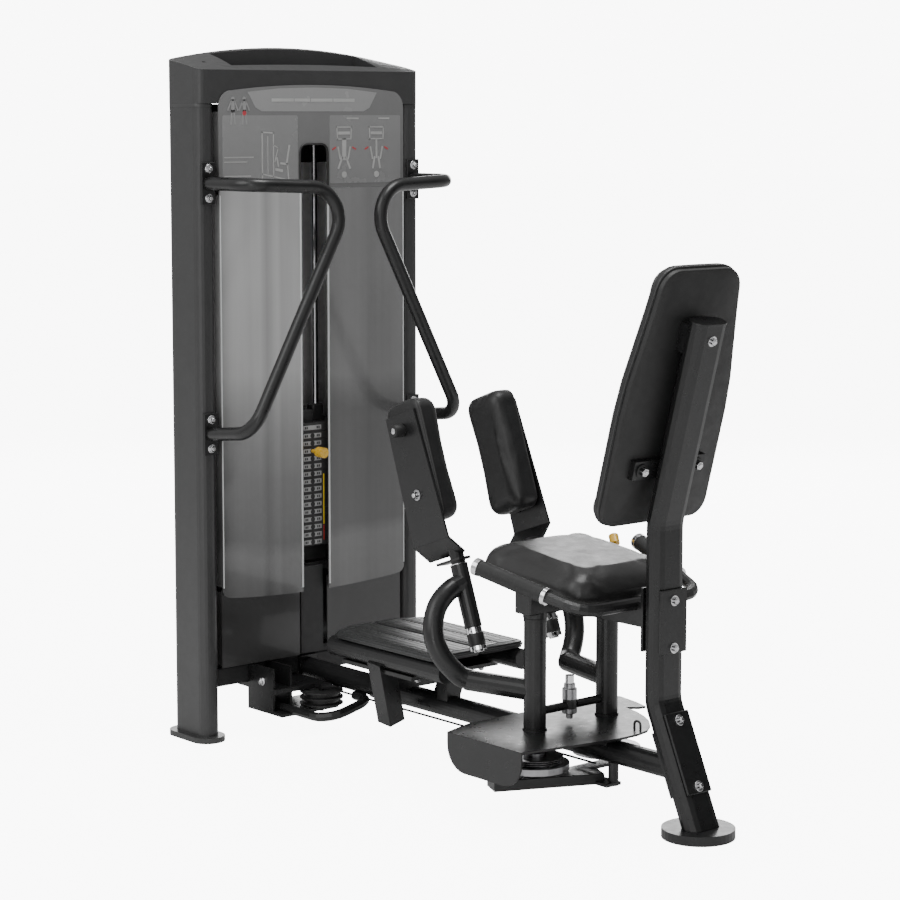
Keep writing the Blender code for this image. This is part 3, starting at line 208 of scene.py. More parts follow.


# Shield colours are painted reflections: lighter towards the top, with soft upright bands, standing in for studio light
# mirrored in the glossy sheet.
SHIELD_L = panel("shield_left", [(0.32, 0.13), (0.43, 0.15), (0.46, 0.11), (0.60, 0.17), (0.78, 0.34), (0.86, 0.46), (1.28, 0.43)],
                 [(-0.272, 0.62), (-0.235, 0.92), (-0.160, 0.98), (-0.140, 0.70), (-0.118, 0.95), (-0.108, 1.0), (-0.098, 0.88), (-0.0385, 0.95)])
SHIELD_R = panel("shield_right", [(0.32, 0.13), (0.44, 0.155), (0.47, 0.10), (0.76, 0.105), (0.84, 0.19), (1.28, 0.19)],
                 [(0.0385, 0.95), (0.060, 0.90), (0.075, 1.0), (0.130, 0.98), (0.160, 0.84), (0.235, 0.90), (0.2715, 1.0)])
PLACARD = panel("placard", [(1.26, 0.14), (1.40, 0.17), (1.54, 0.19)], [(-0.27, 1.0), (0.27, 0.9)], rough=0.22, streak=0.03)
KICK = panel("kick_panel_mat", [(0.16, 0.028), (0.36, 0.055)], [(-0.27, 1.0), (0.27, 1.0)], rough=0.32, streak=0.04)
INNER = panel("inner_panel", [(0.16, 0.030), (0.8, 0.045), (1.3, 0.055)], [(-0.27, 1.0), (0.27, 1.0)], rough=0.3, streak=0.2)
INNER_B = panel("print_field", [(1.26, 0.215), (1.54, 0.250)], [(-0.27, 1.0), (0.27, 0.9)], rough=0.25, streak=0.03)
BAND = panel("title_band", [(1.26, 0.270), (1.54, 0.280)], [(-0.27, 1.0), (0.27, 0.95)], rough=0.25, streak=0.02)
LINEART = surface("print_light", (0.36, 0.36, 0.355), 0.4, var=0.08, edge=0.0001)
LINEDIM = surface("print_dim", (0.26, 0.26, 0.26), 0.4, var=0.08, edge=0.0001)
PRED = surface("print_red", (0.42, 0.05, 0.06), 0.4, var=0.08, edge=0.0001)

ASSIGN = {
    "left_upright": FRAME_PAINTED_LIT, "right_upright": FRAME_PAINTED_LIT, "tower_cap": FRAME_PAINTED_LIT, "cap_tray": BLACK, "left_shield": SHIELD_L, "right_shield": SHIELD_R,
    "placard_panel": PLACARD, "left_kick_panel": KICK, "right_kick_panel": KICK, "rear_shroud": INNER, "base_crossbar": DARK, "top_crossbar": DARK,
    "left_guide_rod": CHROME, "right_guide_rod": CHROME, "stack_bumper": RUBBER, "resting_plates": IRON, "lifted_plates": IRON, "stack_head": IRON,
    "selector_rod": CHROME, "selector_pin": YELLOW, "top_pulley": NYLON, "base_pulley": NYLON, "lift_cable": RUBBER, "pulley_guard": FRAME,
    "left_cam": STEEL, "right_cam": STEEL, "arm_plunger": CHROME, "left_pad_shaft": CHROME, "right_pad_shaft": CHROME, "left_pad_collars": CHROME,
    "right_pad_collars": CHROME, "left_grip": RUBBER, "right_grip": RUBBER, "release_lever": YELLOW, "backrest_board": VINYL_BACK,
}
ROUND = {"left_upright", "right_upright", "rear_post", "left_arm", "right_arm", "seat_handle", "main_beam", "left_handrail", "right_handrail", "tread_frame"}
for n, o in NODES.items():
    o.data.materials.clear()
    o.data.materials.append(ASSIGN.get(n, FRAME))
    o.data.shade_smooth()
    o.data.set_sharp_from_angle(angle=math.radians(50 if n in ROUND else 32))


# ------------------------------------------------------------------ mesh helpers
def make(name, bm, mat, body, smooth=35):
    bmesh.ops.recalc_face_normals(bm, faces=bm.faces[:])
    me = bpy.data.meshes.new(name)
    bm.to_mesh(me)
    bm.free()
    o = bpy.data.objects.new(name, me)
    scene.collection.objects.link(o)
    me.materials.append(mat)
    me.shade_smooth()
    me.set_sharp_from_angle(angle=math.radians(smooth))
    if body:
        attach(o, body)
    return o


def basis(d):
    d = Vector(d).normalized()
    u = d.orthogonal().normalized()
    return u, d.cross(u), d


def revolve(bm, p, d, prof, seg=20, flats=None):
    """Adds a turned solid: profile of (distance along d, radius)."""
    u, v, w = basis(d)
    rings = []
    for t, r in prof:
        ring = []
        for k in range(seg):
            a = 2 * math.pi * k / seg
            ring.append(bm.verts.new(Vector(p) + w * t + (u * math.cos(a) + v * math.sin(a)) * max(r, 1e-5)))
        rings.append(ring)
    for a, b in zip(rings, rings[1:]):
        for k in range(seg):
            bm.faces.new((a[k], a[(k + 1) % seg], b[(k + 1) % seg], b[k]))
    bm.faces.new(rings[0])
    bm.faces.new(list(reversed(rings[-1])))


def plate(bm, pts, org, ux, uy, un, t0, t1, bev=0.0):
    """Adds a prism over a 2D outline with a small chamfer round its outer face."""
    n = len(pts)
    c = Vector((sum(p[0] for p in pts) / n, sum(p[1] for p in pts) / n))

    def ring(t, inset):
        out = []
        for i, p in enumerate(pts):
            q = Vector((p[0], p[1]))
            if inset:
                a, b = Vector(pts[i - 1][:2]), Vector(pts[(i + 1) % n][:2])
                tg = (b - a).normalized()
                nn = Vector((-tg.y, tg.x))
                if nn.dot(c - q) < 0:
                    nn = -nn
                q = q + nn * inset
            out.append(bm.verts.new(org + ux * q.x + uy * q.y + un * t))
        return out
    levels = [(t0, 0), (t1, 0)] if not bev else [(t0, 0), (t1 - bev, 0), (t1 - bev * 0.3, bev * 0.3), (t1, bev)]
    rs = [ring(*lv) for lv in levels]
    for a, b in zip(rs, rs[1:]):
        for k in range(n):
            bm.faces.new((a[k], a[(k + 1) % n], b[(k + 1) % n], b[k]))
    bm.faces.new(list(reversed(rs[0])))
    bm.faces.new(rs[-1])


def rrect(x0, x1, y0, y1, r, n=5):
    out = []
    for cx, cy, a0 in ((x1 - r, y1 - r, 0), (x0 + r, y1 - r, 90), (x0 + r, y0 + r, 180), (x1 - r, y0 + r, 270)):
        for k in range(n + 1):
            a = math.radians(a0 + 90 * k / n)
            out.append((cx + r * math.cos(a), cy + r * math.sin(a)))
    return out


def sweep(name, pts, r, mat, body, closed=False, seg=10):
    """Round cord along points."""
    bm = bmesh.new()
    n = len(pts)
    rings = []
    up = None
    for i, p in enumerate(pts):
        if closed:
            t = (pts[(i + 1) % n] - pts[i - 1]).normalized()
        else:
            t = (pts[min(i + 1, n - 1)] - pts[max(i - 1, 0)]).normalized()
        if up is None:
            up = t.orthogonal().normalized()
        up = (up - t * up.dot(t)).normalized()
        v = t.cross(up)
        rings.append([bm.verts.new(p + (up * math.cos(2 * math.pi * k / seg) + v * math.sin(2 * math.pi * k / seg)) * r) for k in range(seg)])
    last = n if closed else n - 1
    if closed:      # line the last ring up with the first
        a, b = rings[-1], rings[0]
        best = min(range(seg), key=lambda s: sum((a[k].co - b[(k + s) % seg].co).length for k in range(seg)))
    for i in range(last):
        a, b = rings[i], rings[(i + 1) % n]
        s = best if closed and i == n - 1 else 0
        for k in range(seg):
            bm.faces.new((a[k], a[(k + 1) % seg], b[(k + 1 + s) % seg], b[(k + s) % seg]))
    if not closed:
        bm.faces.new(list(reversed(rings[0])))
        bm.faces.new(rings[-1])
    return make(name, bm, mat, body, 60)


X, Y, Z = Vector((1, 0, 0)), Vector((0, 1, 0)), Vector((0, 0, 1))
LEAN = math.radians(15.3)
UP = Vector((0, -math.sin(LEAN), math.cos(LEAN)))
UPN = Vector((0, math.cos(LEAN), math.sin(LEAN)))
LEG_A, LEG_B = L(0, -1.163, 0.262), L(0, -1.272, 0.0205)
LD = (LEG_B - LEG_A).normalized()
LN = Vector((0, -LD.z, LD.y))
if LN.y < 0:
    LN = -LN
P_O = L(0, -1.165, 0.6445)

# ------------------------------------------------------------------ bolts
BOLTS = []


def bolt(p, d, body, r=0.0100, hx=0.0076, h=0.0088, washer=ZINC):
    i = len(BOLTS)
    bm = bmesh.new()
    revolve(bm, p, d, [(0.0, r * 0.96), (0.0004, r), (0.0022, r), (0.0027, r * 0.94), (0.0027, hx * 0.8)], 28)
    w = make("washer_%02d" % i, bm, washer, body)
    bm = bmesh.new()
    revolve(bm, p, d, [(0.0024, hx), (h - 0.0012, hx), (h - 0.0003, hx * 0.90), (h - 0.0003, hx * 0.62)], 6)
    revolve(bm, p, d, [(0.0024, hx * 0.60), (h + 0.0012, hx * 0.60), (h + 0.0022, hx * 0.48)], 18)
    o = make("bolt_%02d" % i, bm, ZINC, body, 30)
    BOLTS.append(o)


for z in (1.3315, 1.2645, 0.7575, 0.6905):
    for s in (-1, 1):
        bolt(L(s * 0.3015, 0.0002, z), -Y, "frame", 0.0102, 0.0080, 0.0092)
for z in (0.475, 0.377):
    bolt(L(0, -1.1918, z), -Y, "frame", 0.0112)
for t in (0.048, 0.186):
    bolt(LEG_A + LD * t - LN * 0.0288, -LN, "frame", 0.0112)
bolt(P_O + UP * 0.385 - UPN * 0.0225, -UPN, "frame", 0.0112)
for s in (-1, 1):
    bolt(P_O + X * (s * 0.078) + UP * 0.100 + UPN * 0.0180, -UPN, "frame", 0.0150, 0.0095, 0.0125, washer=BLACK)
    for y in (-0.490, -0.280):
        bolt(L(s * 0.094, y, 0.2085), -Z, "frame", 0.0096, 0.0072, 0.0088)
bolt(L(-0.1763, -0.0200, 0.130), -X, "frame", 0.0100)
for s, b in ((-1, "left_pad"), (1, "right_pad")):
    bolt(L(s * 0.1500, -0.5570, 0.6320), X * s, b, 0.0122, 0.0088, 0.0098, washer=STEEL)
    bm = bmesh.new()
    revolve(bm, L(s * 0.1500, -0.5060, 0.7690), X * s, [(0, 0.0140), (0.0020, 0.0146), (0.0245, 0.0143), (0.0264, 0.0132), (0.0266, 0.0085), (0.0256, 0.0080)], 28)
    make("knob_%s" % b, bm, RUBBER, b)
    bm = bmesh.new()
    revolve(bm, L(s * 0.1755, -0.5060, 0.7690), X * s, [(0, 0.0066), (0.0008, 0.0066), (0.0014, 0.0054)], 20)
    make("knob_cap_%s" % b, bm, ZINC, b)

# ------------------------------------------------------------------ handle rings, collars, arm lock
for s, sd in ((-1, "left"), (1, "right")):
    a, b = L(s * 0.236, -0.851, 0.526), L(s * 0.167, -1.101, 0.4575)
    d = (b - a).normalized()
    bm = bmesh.new()
    revolve(bm, a, d, [(-0.0026, 0.0150), (-0.0024, 0.0178), (-0.0018, 0.0184), (0.0096, 0.0184), (0.0102, 0.0176), (0.0102, 0.0150)], 36)
    make("ring_front_" + sd, bm, CHROME, "frame")
    bm = bmesh.new()
    revolve(bm, a, d, [(0.1706, 0.0150), (0.1706, 0.0176), (0.1712, 0.0184), (0.1797, 0.0184), (0.1803, 0.0176), (0.1803, 0.0140)], 36)
    make("ring_rear_" + sd, bm, CHROME, "frame")
    # ribbed grip
    bm = bmesh.new()
    prof = [(0.0105, 0.0140), (0.0105, 0.0160), (0.0125, 0.0170)]
    for k in range(36):
        t = 0.0150 + k * 0.0042
        prof += [(t, 0.0170), (t + 0.0012, 0.0165), (t + 0.0024, 0.0170)]
    prof += [(0.1685, 0.0170), (0.1700, 0.0160), (0.1700, 0.0140)]
    revolve(bm, a, d, prof, 32)
    g = make("grip_cover_" + sd, bm, RUBBER, "frame")
    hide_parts(sd + "_grip")
    sh = L(s * 0.110, -0.698, 0.357)
    sd_ = Vector((0, math.sin(math.radians(20.5)), math.cos(math.radians(20.5))))
    bm = bmesh.new()
    revolve(bm, sh, sd_, [(-0.0412, 0.0150), (-0.0412, 0.0178), (-0.0404, 0.0183), (-0.0148, 0.0183), (-0.0138, 0.0178), (-0.0138, 0.0150)], 36)
    make("collar_sleeve_" + sd, bm, BLACK, sd + "_pad")
    bm = bmesh.new()
    revolve(bm, sh + sd_ * -0.007 + Vector((s * 0.0150, -0.004, 0)), Vector((s * 0.75, -0.66, 0.1)), [(0, 0.0042), (0.0052, 0.0042), (0.0060, 0.0034), (0.0052, 0.0020)], 16)
    make("set_screw_" + sd, bm, ZINC, sd + "_pad")
    bm = bmesh.new()
    revolve(bm, sh, sd_, [(0.1386, 0.0120), (0.1386, 0.0192), (0.1404, 0.0195), (0.1412, 0.0170)], 36)
    make("sleeve_lip_" + sd, bm, CHROME, sd + "_arm")
    bm = bmesh.new()
    revolve(bm, L(s * 0.105, -0.889, 0.3995), Z, [(0, 0.0240), (0, 0.0245), (0.0070, 0.0245), (0.0078, 0.0238)], 36)
    make("column_ring_" + sd, bm, BLACK, sd + "_arm")
bm = bmesh.new()
revolve(bm, L(-0.005, -0.889, 0.1878), Z, [(0, 0.0100), (0, 0.0150), (0.0012, 0.0160), (0.0100, 0.0160), (0.0108, 0.0152), (0.0300, 0.0152), (0.0308, 0.0160), (0.0530, 0.0160), (0.0545, 0.0148), (0.0546, 0.0125), (0.0640, 0.0123), (0.0650, 0.0110)], 32)
make("lock_barrel", bm, STEEL, "left_arm")

# ------------------------------------------------------------------ painted tube skins over the bent tubes
def fillet(pts, radii, n=14):
    """Polyline with round corners."""
    pts = [Vector(p) for p in pts]
    out = [pts[0]]
    for i in range(1, len(pts) - 1):
        r = radii[i - 1]
        a, b = (pts[i - 1] - pts[i]).normalized(), (pts[i + 1] - pts[i]).normalized()
        ang = a.angle(b)
        t = r / math.tan(ang / 2)
        c = pts[i] + (a + b).normalized() * (r / math.sin(ang / 2))
        u, w = (pts[i] + a * t - c).normalized(), (pts[i] + b * t - c).normalized()
        tot = u.angle(w)
        for k in range(n + 1):
            f = k / n
            out.append(c + (u * math.sin((1 - f) * tot) + w * math.sin(f * tot)) / math.sin(tot) * r)
    out.append(pts[-1])
    return out


def even(pts, step=0.010):
    """Points at a near-even spacing, so a tube's shading has no long facets."""
    out = [pts[0]]
    for a, b in zip(pts, pts[1:]):
        k = max(1, int(round((b - a).length / step)))
        out += [a.lerp(b, j / k) for j in range(1, k + 1)]
    return out


def spline(pts, n=8):
    p = [Vector(q) for q in pts]
    p = [p[0] * 2 - p[1]] + p + [p[-1] * 2 - p[-2]]
    out = []
    for i in range(1, len(p) - 2):
        for k in range(n):
            t = k / n
            out.append(0.5 * ((2 * p[i]) + (p[i + 1] - p[i - 1]) * t + (2 * p[i - 1] - 5 * p[i] + 4 * p[i + 1] - p[i + 2]) * t * t
                              + (3 * p[i] - p[i - 1] - 3 * p[i + 1] + p[i + 2]) * t ** 3))
    out.append(p[-2])
    return out


for s, sd in ((-1, "left"), (1, "right")):
    hp = [(0.3015, -0.0070, 1.2980), (0.3015, -0.150, 1.2980), (0.0140, -0.173, 1.2870), (0.3050, -0.168, 0.7420), (0.3015, -0.0070, 0.7240)]
    path = even(fillet([L(s * x, y, z) for x, y, z in hp], [0.055, 0.075, 0.060]))
    sweep("rail_skin_" + sd, path, 0.0154, FRAME, "frame", seg=28)
    cp = [(0.1400, -0.7290, 0.2505), (0.1590, -0.7144, 0.2586), (0.1781, -0.7037, 0.2788), (0.1939, -0.6925, 0.3028), (0.2022, -0.6825, 0.3280), (0.2035, -0.6753, 0.3504),
          (0.1993, -0.6696, 0.3705), (0.1915, -0.6650, 0.3905), (0.1785, -0.6613, 0.4097), (0.1578, -0.6605, 0.4290), (0.1347, -0.6615, 0.4429)]
    sweep("arm_skin_" + sd, spline([L(s * x, y, z) for x, y, z in cp]), 0.0221, FRAME, sd + "_arm", seg=32)

# band that closes the joint between each upright and the cap
for s, sd in ((-1, "left"), (1, "right")):
    bm = bmesh.new()
    plate(bm, rrect(s * 0.3015 - 0.0249, s * 0.3015 + 0.0249, 0.0056 + OFF, 0.1324 + OFF, 0.0208, 8), Vector((0, 0, 0)), X, Y, Z, 1.4700, 1.4789, 0.0004)
    make("upright_band_" + sd, bm, FRAME_PAINTED_LIT, "frame", 50)

# ------------------------------------------------------------------ shield edges and slot trims
for s, sd in ((-1, "left"), (1, "right")):
    bm = bmesh.new()
    plate(bm, rrect(-0.0022, 0.0022, 0.3345, 1.2805, 0.0008, 2), L(s * 0.0405, 0.0, 0), X, Z, -Y, -0.0008, 0.0010, 0.0004)
    make("slot_edge_" + sd, bm, EDGE, "frame")
    bm = bmesh.new()
    plate(bm, rrect(-0.0012, 0.0012, 0.36, 1.2700, 0.0005, 2), L(s * 0.2700, 0.0, 0), X, Z, -Y, -0.0008, 0.0008, 0.0003)
    make("outer_edge_" + sd, bm, EDGE, "frame")
bm = bmesh.new()
arch = [(-0.040, 1.2818), (-0.040, 1.366)] + [(-0.022 + 0.018 * math.cos(math.radians(a)), 1.366 + 0.018 * math.sin(math.radians(a))) for a in (180, 150, 120, 90)] \
    + [(0.022 + 0.018 * math.cos(math.radians(a)), 1.366 + 0.018 * math.sin(math.radians(a))) for a in (90, 60, 30, 0)] + [(0.040, 1.2818)]
sweep("slot_trim", [L(q[0] * 1.03, 0.0004, q[1] + (0.001 if q[1] > 1.37 else 0)) for q in arch], 0.0026, BLACK, "frame", seg=8)

# Pale sheet behind the slot: its colour, brighter towards the top, is painted reflected light standing in for the light
# seen inside the slot.
SLOT_PAINTED_LIGHT = panel("slot_painted_light", [(0.32, 0.30), (0.80, 0.55), (1.38, 0.75)], [(-0.045, 0.8), (0.045, 1.0)], rough=0.30, streak=0.08)
bm = bmesh.new()
plate(bm, rrect(-0.200, 0.200, 0.420, 1.340, 0.003, 2), L(0, 0.1180, 0), X, Z, -Y, 0.0, 0.0016, 0.0005)
make("slot_painted_light", bm, SLOT_PAINTED_LIGHT, "frame")

# ------------------------------------------------------------------ placard print
PY = 0.0008


def flat(name, polys, mat, t0=0.0, t1=0.0004):
    bm = bmesh.new()
    for pts in polys:
        plate(bm, pts, L(0, PY, 0), X, Z, -Y, t0, t1)
    o = make(name, bm, mat, "frame")
    return o


def stroke(a, b, w):
    a, b = Vector(a), Vector(b)
    d = (b - a).normalized()
    n = Vector((-d.y, d.x)) * w / 2
    e = d * w / 2
    return [tuple(a - e + n), tuple(a - e - n), tuple(b + e - n), tuple(b + e + n)]


def dot(c, r, n=14, sy=1.0):
    return [(c[0] + r * math.cos(2 * math.pi * k / n), c[1] + r * sy * math.sin(2 * math.pi * k / n)) for k in range(n)]


flat("print_band", [[(-0.190, 1.5055), (-0.168, 1.470), (-0.150, 1.4610), (0.150, 1.4610), (0.168, 1.470), (0.190, 1.5055), (0.10, 1.5140), (0, 1.5165), (-0.10, 1.5140)]], BAND)
flat("print_field_left", [rrect(-0.262, -0.047, 1.292, 1.452, 0.004, 2)], INNER_B)
flat("print_field_right", [rrect(0.047, 0.262, 1.292, 1.452, 0.004, 2)], INNER_B, 0.0, 0.0003)
bars = []
for k, (x0, x1) in enumerate(((-0.118, -0.062), (-0.052, -0.014), (-0.004, 0.052), (0.062, 0.118))):
    bars.append(stroke((x0, 1.487), (x1, 1.487), 0.0075))
flat("print_title_bars", bars, LINEART, 0.0004, 0.0008)


def figure(cx, cz, h, spread=0.0):
    """Plain pictogram of a standing or seated person seen from the front."""
    u = h / 10
    return [dot((cx, cz + 4.4 * u), 0.8 * u), stroke((cx, cz + 3.4 * u), (cx, cz + 0.2 * u), 1.6 * u), stroke((cx - 0.9 * u, cz + 3.2 * u), (cx - (2.2 + spread) * u, cz + 0.4 * u), 0.6 * u),
            stroke((cx + 0.9 * u, cz + 3.2 * u), (cx + (2.2 + spread) * u, cz + 0.4 * u), 0.6 * u), stroke((cx - 0.5 * u, cz), (cx - (0.9 + spread) * u, cz - 4.6 * u), 0.8 * u),
            stroke((cx + 0.5 * u, cz), (cx + (0.9 + spread) * u, cz - 4.6 * u), 0.8 * u)]


flat("print_figures", figure(-0.232, 1.462, 0.062) + figure(-0.200, 1.462, 0.062), LINEDIM, 0.0004, 0.0008)
flat("print_figure_mark", [dot((-0.200, 1.457), 0.0055)], PRED, 0.0008, 0.0011)
# small line drawing of a machine
mz = 1.305
draw = [stroke((-0.150, mz), (-0.150, mz + 0.108), 0.0035), stroke((-0.118, mz + 0.004), (-0.118, mz + 0.106), 0.003), stroke((-0.150, mz + 0.108), (-0.118, mz + 0.106), 0.0035),
        stroke((-0.134, mz + 0.010), (-0.134, mz + 0.098), 0.002), stroke((-0.150, mz + 0.012), (-0.080, mz - 0.002), 0.003), stroke((-0.118, mz + 0.078), (-0.104, mz + 0.072), 0.002),
        stroke((-0.104, mz + 0.072), (-0.114, mz + 0.040), 0.002), stroke((-0.110, mz + 0.022), (-0.094, mz + 0.019), 0.006), stroke((-0.080, mz + 0.034), (-0.096, mz + 0.036), 0.005),
        stroke((-0.080, mz + 0.036), (-0.072, mz + 0.076), 0.0045), stroke((-0.078, mz + 0.034), (-0.074, mz - 0.004), 0.003), stroke((-0.104, mz + 0.030), (-0.108, mz + 0.048), 0.004)]
flat("print_machine", draw, LINEART, 0.0004, 0.0008)
txt = []
for k, (x0, x1) in enumerate(((-0.256, -0.176), (-0.256, -0.196))):
    txt.append(stroke((x0, 1.3560 - k * 0.0105), (x1, 1.3560 - k * 0.0105), 0.0028))
for k, (x0, x1) in enumerate(((-0.256, -0.184), (-0.256, -0.176))):
    txt.append(stroke((x0, 1.3130 - k * 0.0105), (x1, 1.3130 - k * 0.0105), 0.0028))
txt += [stroke((0.100, 1.4445), (0.132, 1.4445), 0.0038), stroke((0.196, 1.4445), (0.226, 1.4445), 0.0038)]
flat("print_lines", txt, LINEART, 0.0004, 0.0007)
pic, red = [], []
for cx, sp in ((0.090, 0.0), (0.188, 0.8)):
    pic += [stroke((cx - 0.022, 1.424), (cx + 0.022, 1.424), 0.003), stroke((cx - 0.022, 1.396), (cx + 0.018, 1.396), 0.003), stroke((cx - 0.022, 1.424), (cx - 0.020, 1.396), 0.003),
            stroke((cx + 0.022, 1.424), (cx + 0.020, 1.396), 0.003), stroke((cx - 0.014, 1.410), (cx + 0.014, 1.410), 0.007)]
    pic += [stroke((cx, 1.392), (cx, 1.352), 0.005 if sp else 0.012), stroke((cx - 0.006, 1.352), (cx - 0.017 + 0.008 * sp, 1.328), 0.005), stroke((cx + 0.006, 1.352), (cx + 0.017 - 0.008 * sp, 1.328), 0.005),
            stroke((cx - 0.018, 1.376), (cx - 0.012, 1.350), 0.004), stroke((cx + 0.018, 1.376), (cx + 0.012, 1.350), 0.004), dot((cx, 1.312), 0.0075)]
    red += [stroke((cx - 0.034, 1.372), (cx - 0.026, 1.376), 0.0035), stroke((cx + 0.034, 1.372), (cx + 0.026, 1.376), 0.0035)]
flat("print_pictograms", pic, LINEART, 0.0004, 0.0008)
flat("print_arrows", red, PRED, 0.0004, 0.0009)

# ------------------------------------------------------------------ weight labels
for k in range(16):
    zc = 0.4285 + 0.0183 * k + 0.0092 + (0.0012 if k == 15 else 0)
    body = "frame" if k < 12 else "weight_stack"
    bm = bmesh.new()
    plate(bm, rrect(-0.0265, 0.0265, zc - 0.0054, zc + 0.0054, 0.0012, 2), L(0, 0.0135, 0), X, Z, -Y, 0.0001, 0.0007, 0.0002)
    make("label_%02d" % k, bm, LABEL, body)
    bm = bmesh.new()
    if k < 15:
        revolve(bm, L(0, 0.0128, zc), -Y, [(0, 0.0062), (0.0004, 0.0062)], 20)
    for q in ((-0.0225, -0.0190), (-0.0172, -0.0140), (0.0125, 0.0160), (0.0178, 0.0215)):
        plate(bm, [(q[0], zc - 0.0028), (q[1], zc - 0.0028), (q[1], zc + 0.0028), (q[0], zc + 0.0028)], L(0, 0.0128, 0), X, Z, -Y, 0, 0.0003)
    make("label_print_%02d" % k, bm, INK, body)
for nm, z0, z1, mt in (("yellow", 0.478, 0.600, YSTRIP), ("red", 0.440, 0.476, RSTRIP)):
    bm = bmesh.new()
    plate(bm, rrect(0.0318, 0.0348, z0, z1, 0.0008, 2), L(0, 0.0135, 0), X, Z, -Y, 0.0001, 0.0010, 0.0003)
    make("strip_" + nm, bm, mt, "frame")

# ------------------------------------------------------------------ treads
for s, sd in ((-1, "left"), (1, "right")):
    out = [(0.0045, -0.5975), (0.0045, -0.2140), (0.012, -0.2080), (0.050, -0.2085)] + [(0.1325, -0.2600)]
    base = [(0.0045, -0.590), (0.0045, -0.216), (0.010, -0.2125), (0.050, -0.2125), (0.066, -0.2135), (0.122, -0.2380), (0.1295, -0.2440), (0.1325, -0.2540), (0.1325, -0.576),
            (0.1290, -0.5880), (0.1200, -0.5960), (0.1080, -0.5975), (0.012, -0.5975), (0.0065, -0.5955)]
    pts = [(s * x, y + OFF) for x, y in base]
    if s < 0:
        pts.reverse()
    bm = bmesh.new()
    org = Vector((0, 0, 0))
    plate(bm, pts, org, X, Y, Z, 0.2645, 0.2790, 0.0022)
    y = -0.582
    i = 0
    while y < -0.232:
        edge = 0.124 if y < -0.262 else 0.124 - (y + 0.262) * 2.0
        segs = ((0.014, 0.064), (0.0675, edge))
        for x0, x1 in segs:
            if x1 - x0 > 0.01:
                q = rrect(s * (x0 + x1) / 2 - (x1 - x0) / 2, s * (x0 + x1) / 2 + (x1 - x0) / 2, y + OFF, y + OFF + 0.0112, 0.0022, 3)
                plate(bm, q, org, X, Y, Z, 0.2784, 0.2801, 0.0006)
        y += 0.0138
        i += 1
    t = make("tread_cover_" + sd, bm, TREAD, "frame", 40)
    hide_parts(sd + "_tread")
    e = [Vector((s * x, yy + OFF, 0.2718)) for x, yy in base]
    c = sum(e, Vector()) / len(e)
    e = [p + (p - c).normalized() * 0.0004 for p in e]
    sweep("tread_lip_" + sd, e, 0.0030, TREAD, "frame", closed=True, seg=8)

# ------------------------------------------------------------------ cushions
SIM = []


def cushion(name, outline, levels, ux, uy, un, org, voxel=0.0055, rect=None):
    """Closed pad from an outline swept through (height, inset) levels; top and bottom are filled."""
    bm = bmesh.new()
    n = len(outline)
    rs = []
    if rect:
        n = 36
    for h, inset in levels:
        ring = []
        if rect:
            hx, hy, r = rect
            for p in rrect(-hx + inset, hx - inset, -hy + inset, hy - inset, max(r - 0.30 * inset, 0.012), 8):
                ring.append(bm.verts.new((p[0], p[1], h)))
            rs.append(ring)
            continue
        for i, p in enumerate(outline):
            q = Vector(p)
            a, b = Vector(outline[i - 1]), Vector(outline[(i + 1) % n])
            tg = (b - a).normalized()
            ring.append(bm.verts.new(Vector((*(q + Vector((-tg.y, tg.x)) * inset), h))))
        rs.append(ring)
    for a, b in zip(rs, rs[1:]):
        for k in range(n):
            bm.faces.new((a[k], a[(k + 1) % n], b[(k + 1) % n], b[k]))
    bm.faces.new(list(reversed(rs[0])))
    bm.faces.new(rs[-1])
    bmesh.ops.recalc_face_normals(bm, faces=bm.faces[:])
    me = bpy.data.meshes.new(name)
    bm.to_mesh(me)
    bm.free()
    o = bpy.data.objects.new(name, me)
    scene.collection.objects.link(o)
    r = o.modifiers.new("remesh", "REMESH")
    r.mode = "VOXEL"
    r.voxel_size = voxel
    dg = bpy.context.evaluated_depsgraph_get()
    me2 = bpy.data.meshes.new_from_object(o.evaluated_get(dg), depsgraph=dg)
    o.modifiers.clear()
    o.data = me2
    o["m"] = [*ux, *uy, *un, *org]
    return o


def densify(pts, step=0.012):
    out = []
    n = len(pts)
    for i in range(n):
        a, b = Vector(pts[i]), Vector(pts[(i + 1) % n])
        k = max(1, int((b - a).length / step))
        out += [tuple(a.lerp(b, j / k)) for j in range(k)]
    return out


def finish_pad(o, mat, body, node, hmax, lim, cap=0.006, smooth=3):
    dg = bpy.context.evaluated_depsgraph_get()
    base = [v.co.copy() for v in o.data.vertices]
    if o.modifiers:
        me = bpy.data.meshes.new_from_object(o.evaluated_get(dg), depsgraph=dg)
        o.modifiers.clear()
        for v, b in zip(me.vertices, base):
            d = v.co - b
            if d.length > cap:
                v.co = b + d * (cap / d.length)
        o.data = me
    bm = bmesh.new()
    bm.from_mesh(o.data)
    for _ in range(smooth):
        bmesh.ops.smooth_vert(bm, verts=bm.verts[:], factor=0.5, use_axis_x=True, use_axis_y=True, use_axis_z=True)
    x0, x1, y0, y1, z0, z1 = lim
    for v in bm.verts:
        v.co.x = min(max(v.co.x, x0), x1)
        v.co.y = min(max(v.co.y, y0), y1)
        v.co.z = min(max(v.co.z, z0), z1)
    m = o["m"]
    M = Matrix(((m[0], m[3], m[6], m[9]), (m[1], m[4], m[7], m[10]), (m[2], m[5], m[8], m[11]), (0, 0, 0, 1)))
    bm.transform(M)
    bmesh.ops.recalc_face_normals(bm, faces=bm.faces[:])
    me = bpy.data.meshes.new(o.name + "_m")
    bm.to_mesh(me)
    bm.free()
    o.data = me
    me.materials.append(mat)
    me.shade_smooth()
    s = o.modifiers.new("sub", "SUBSURF")
    s.levels = s.render_levels = 1
    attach(o, body)
    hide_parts(node)


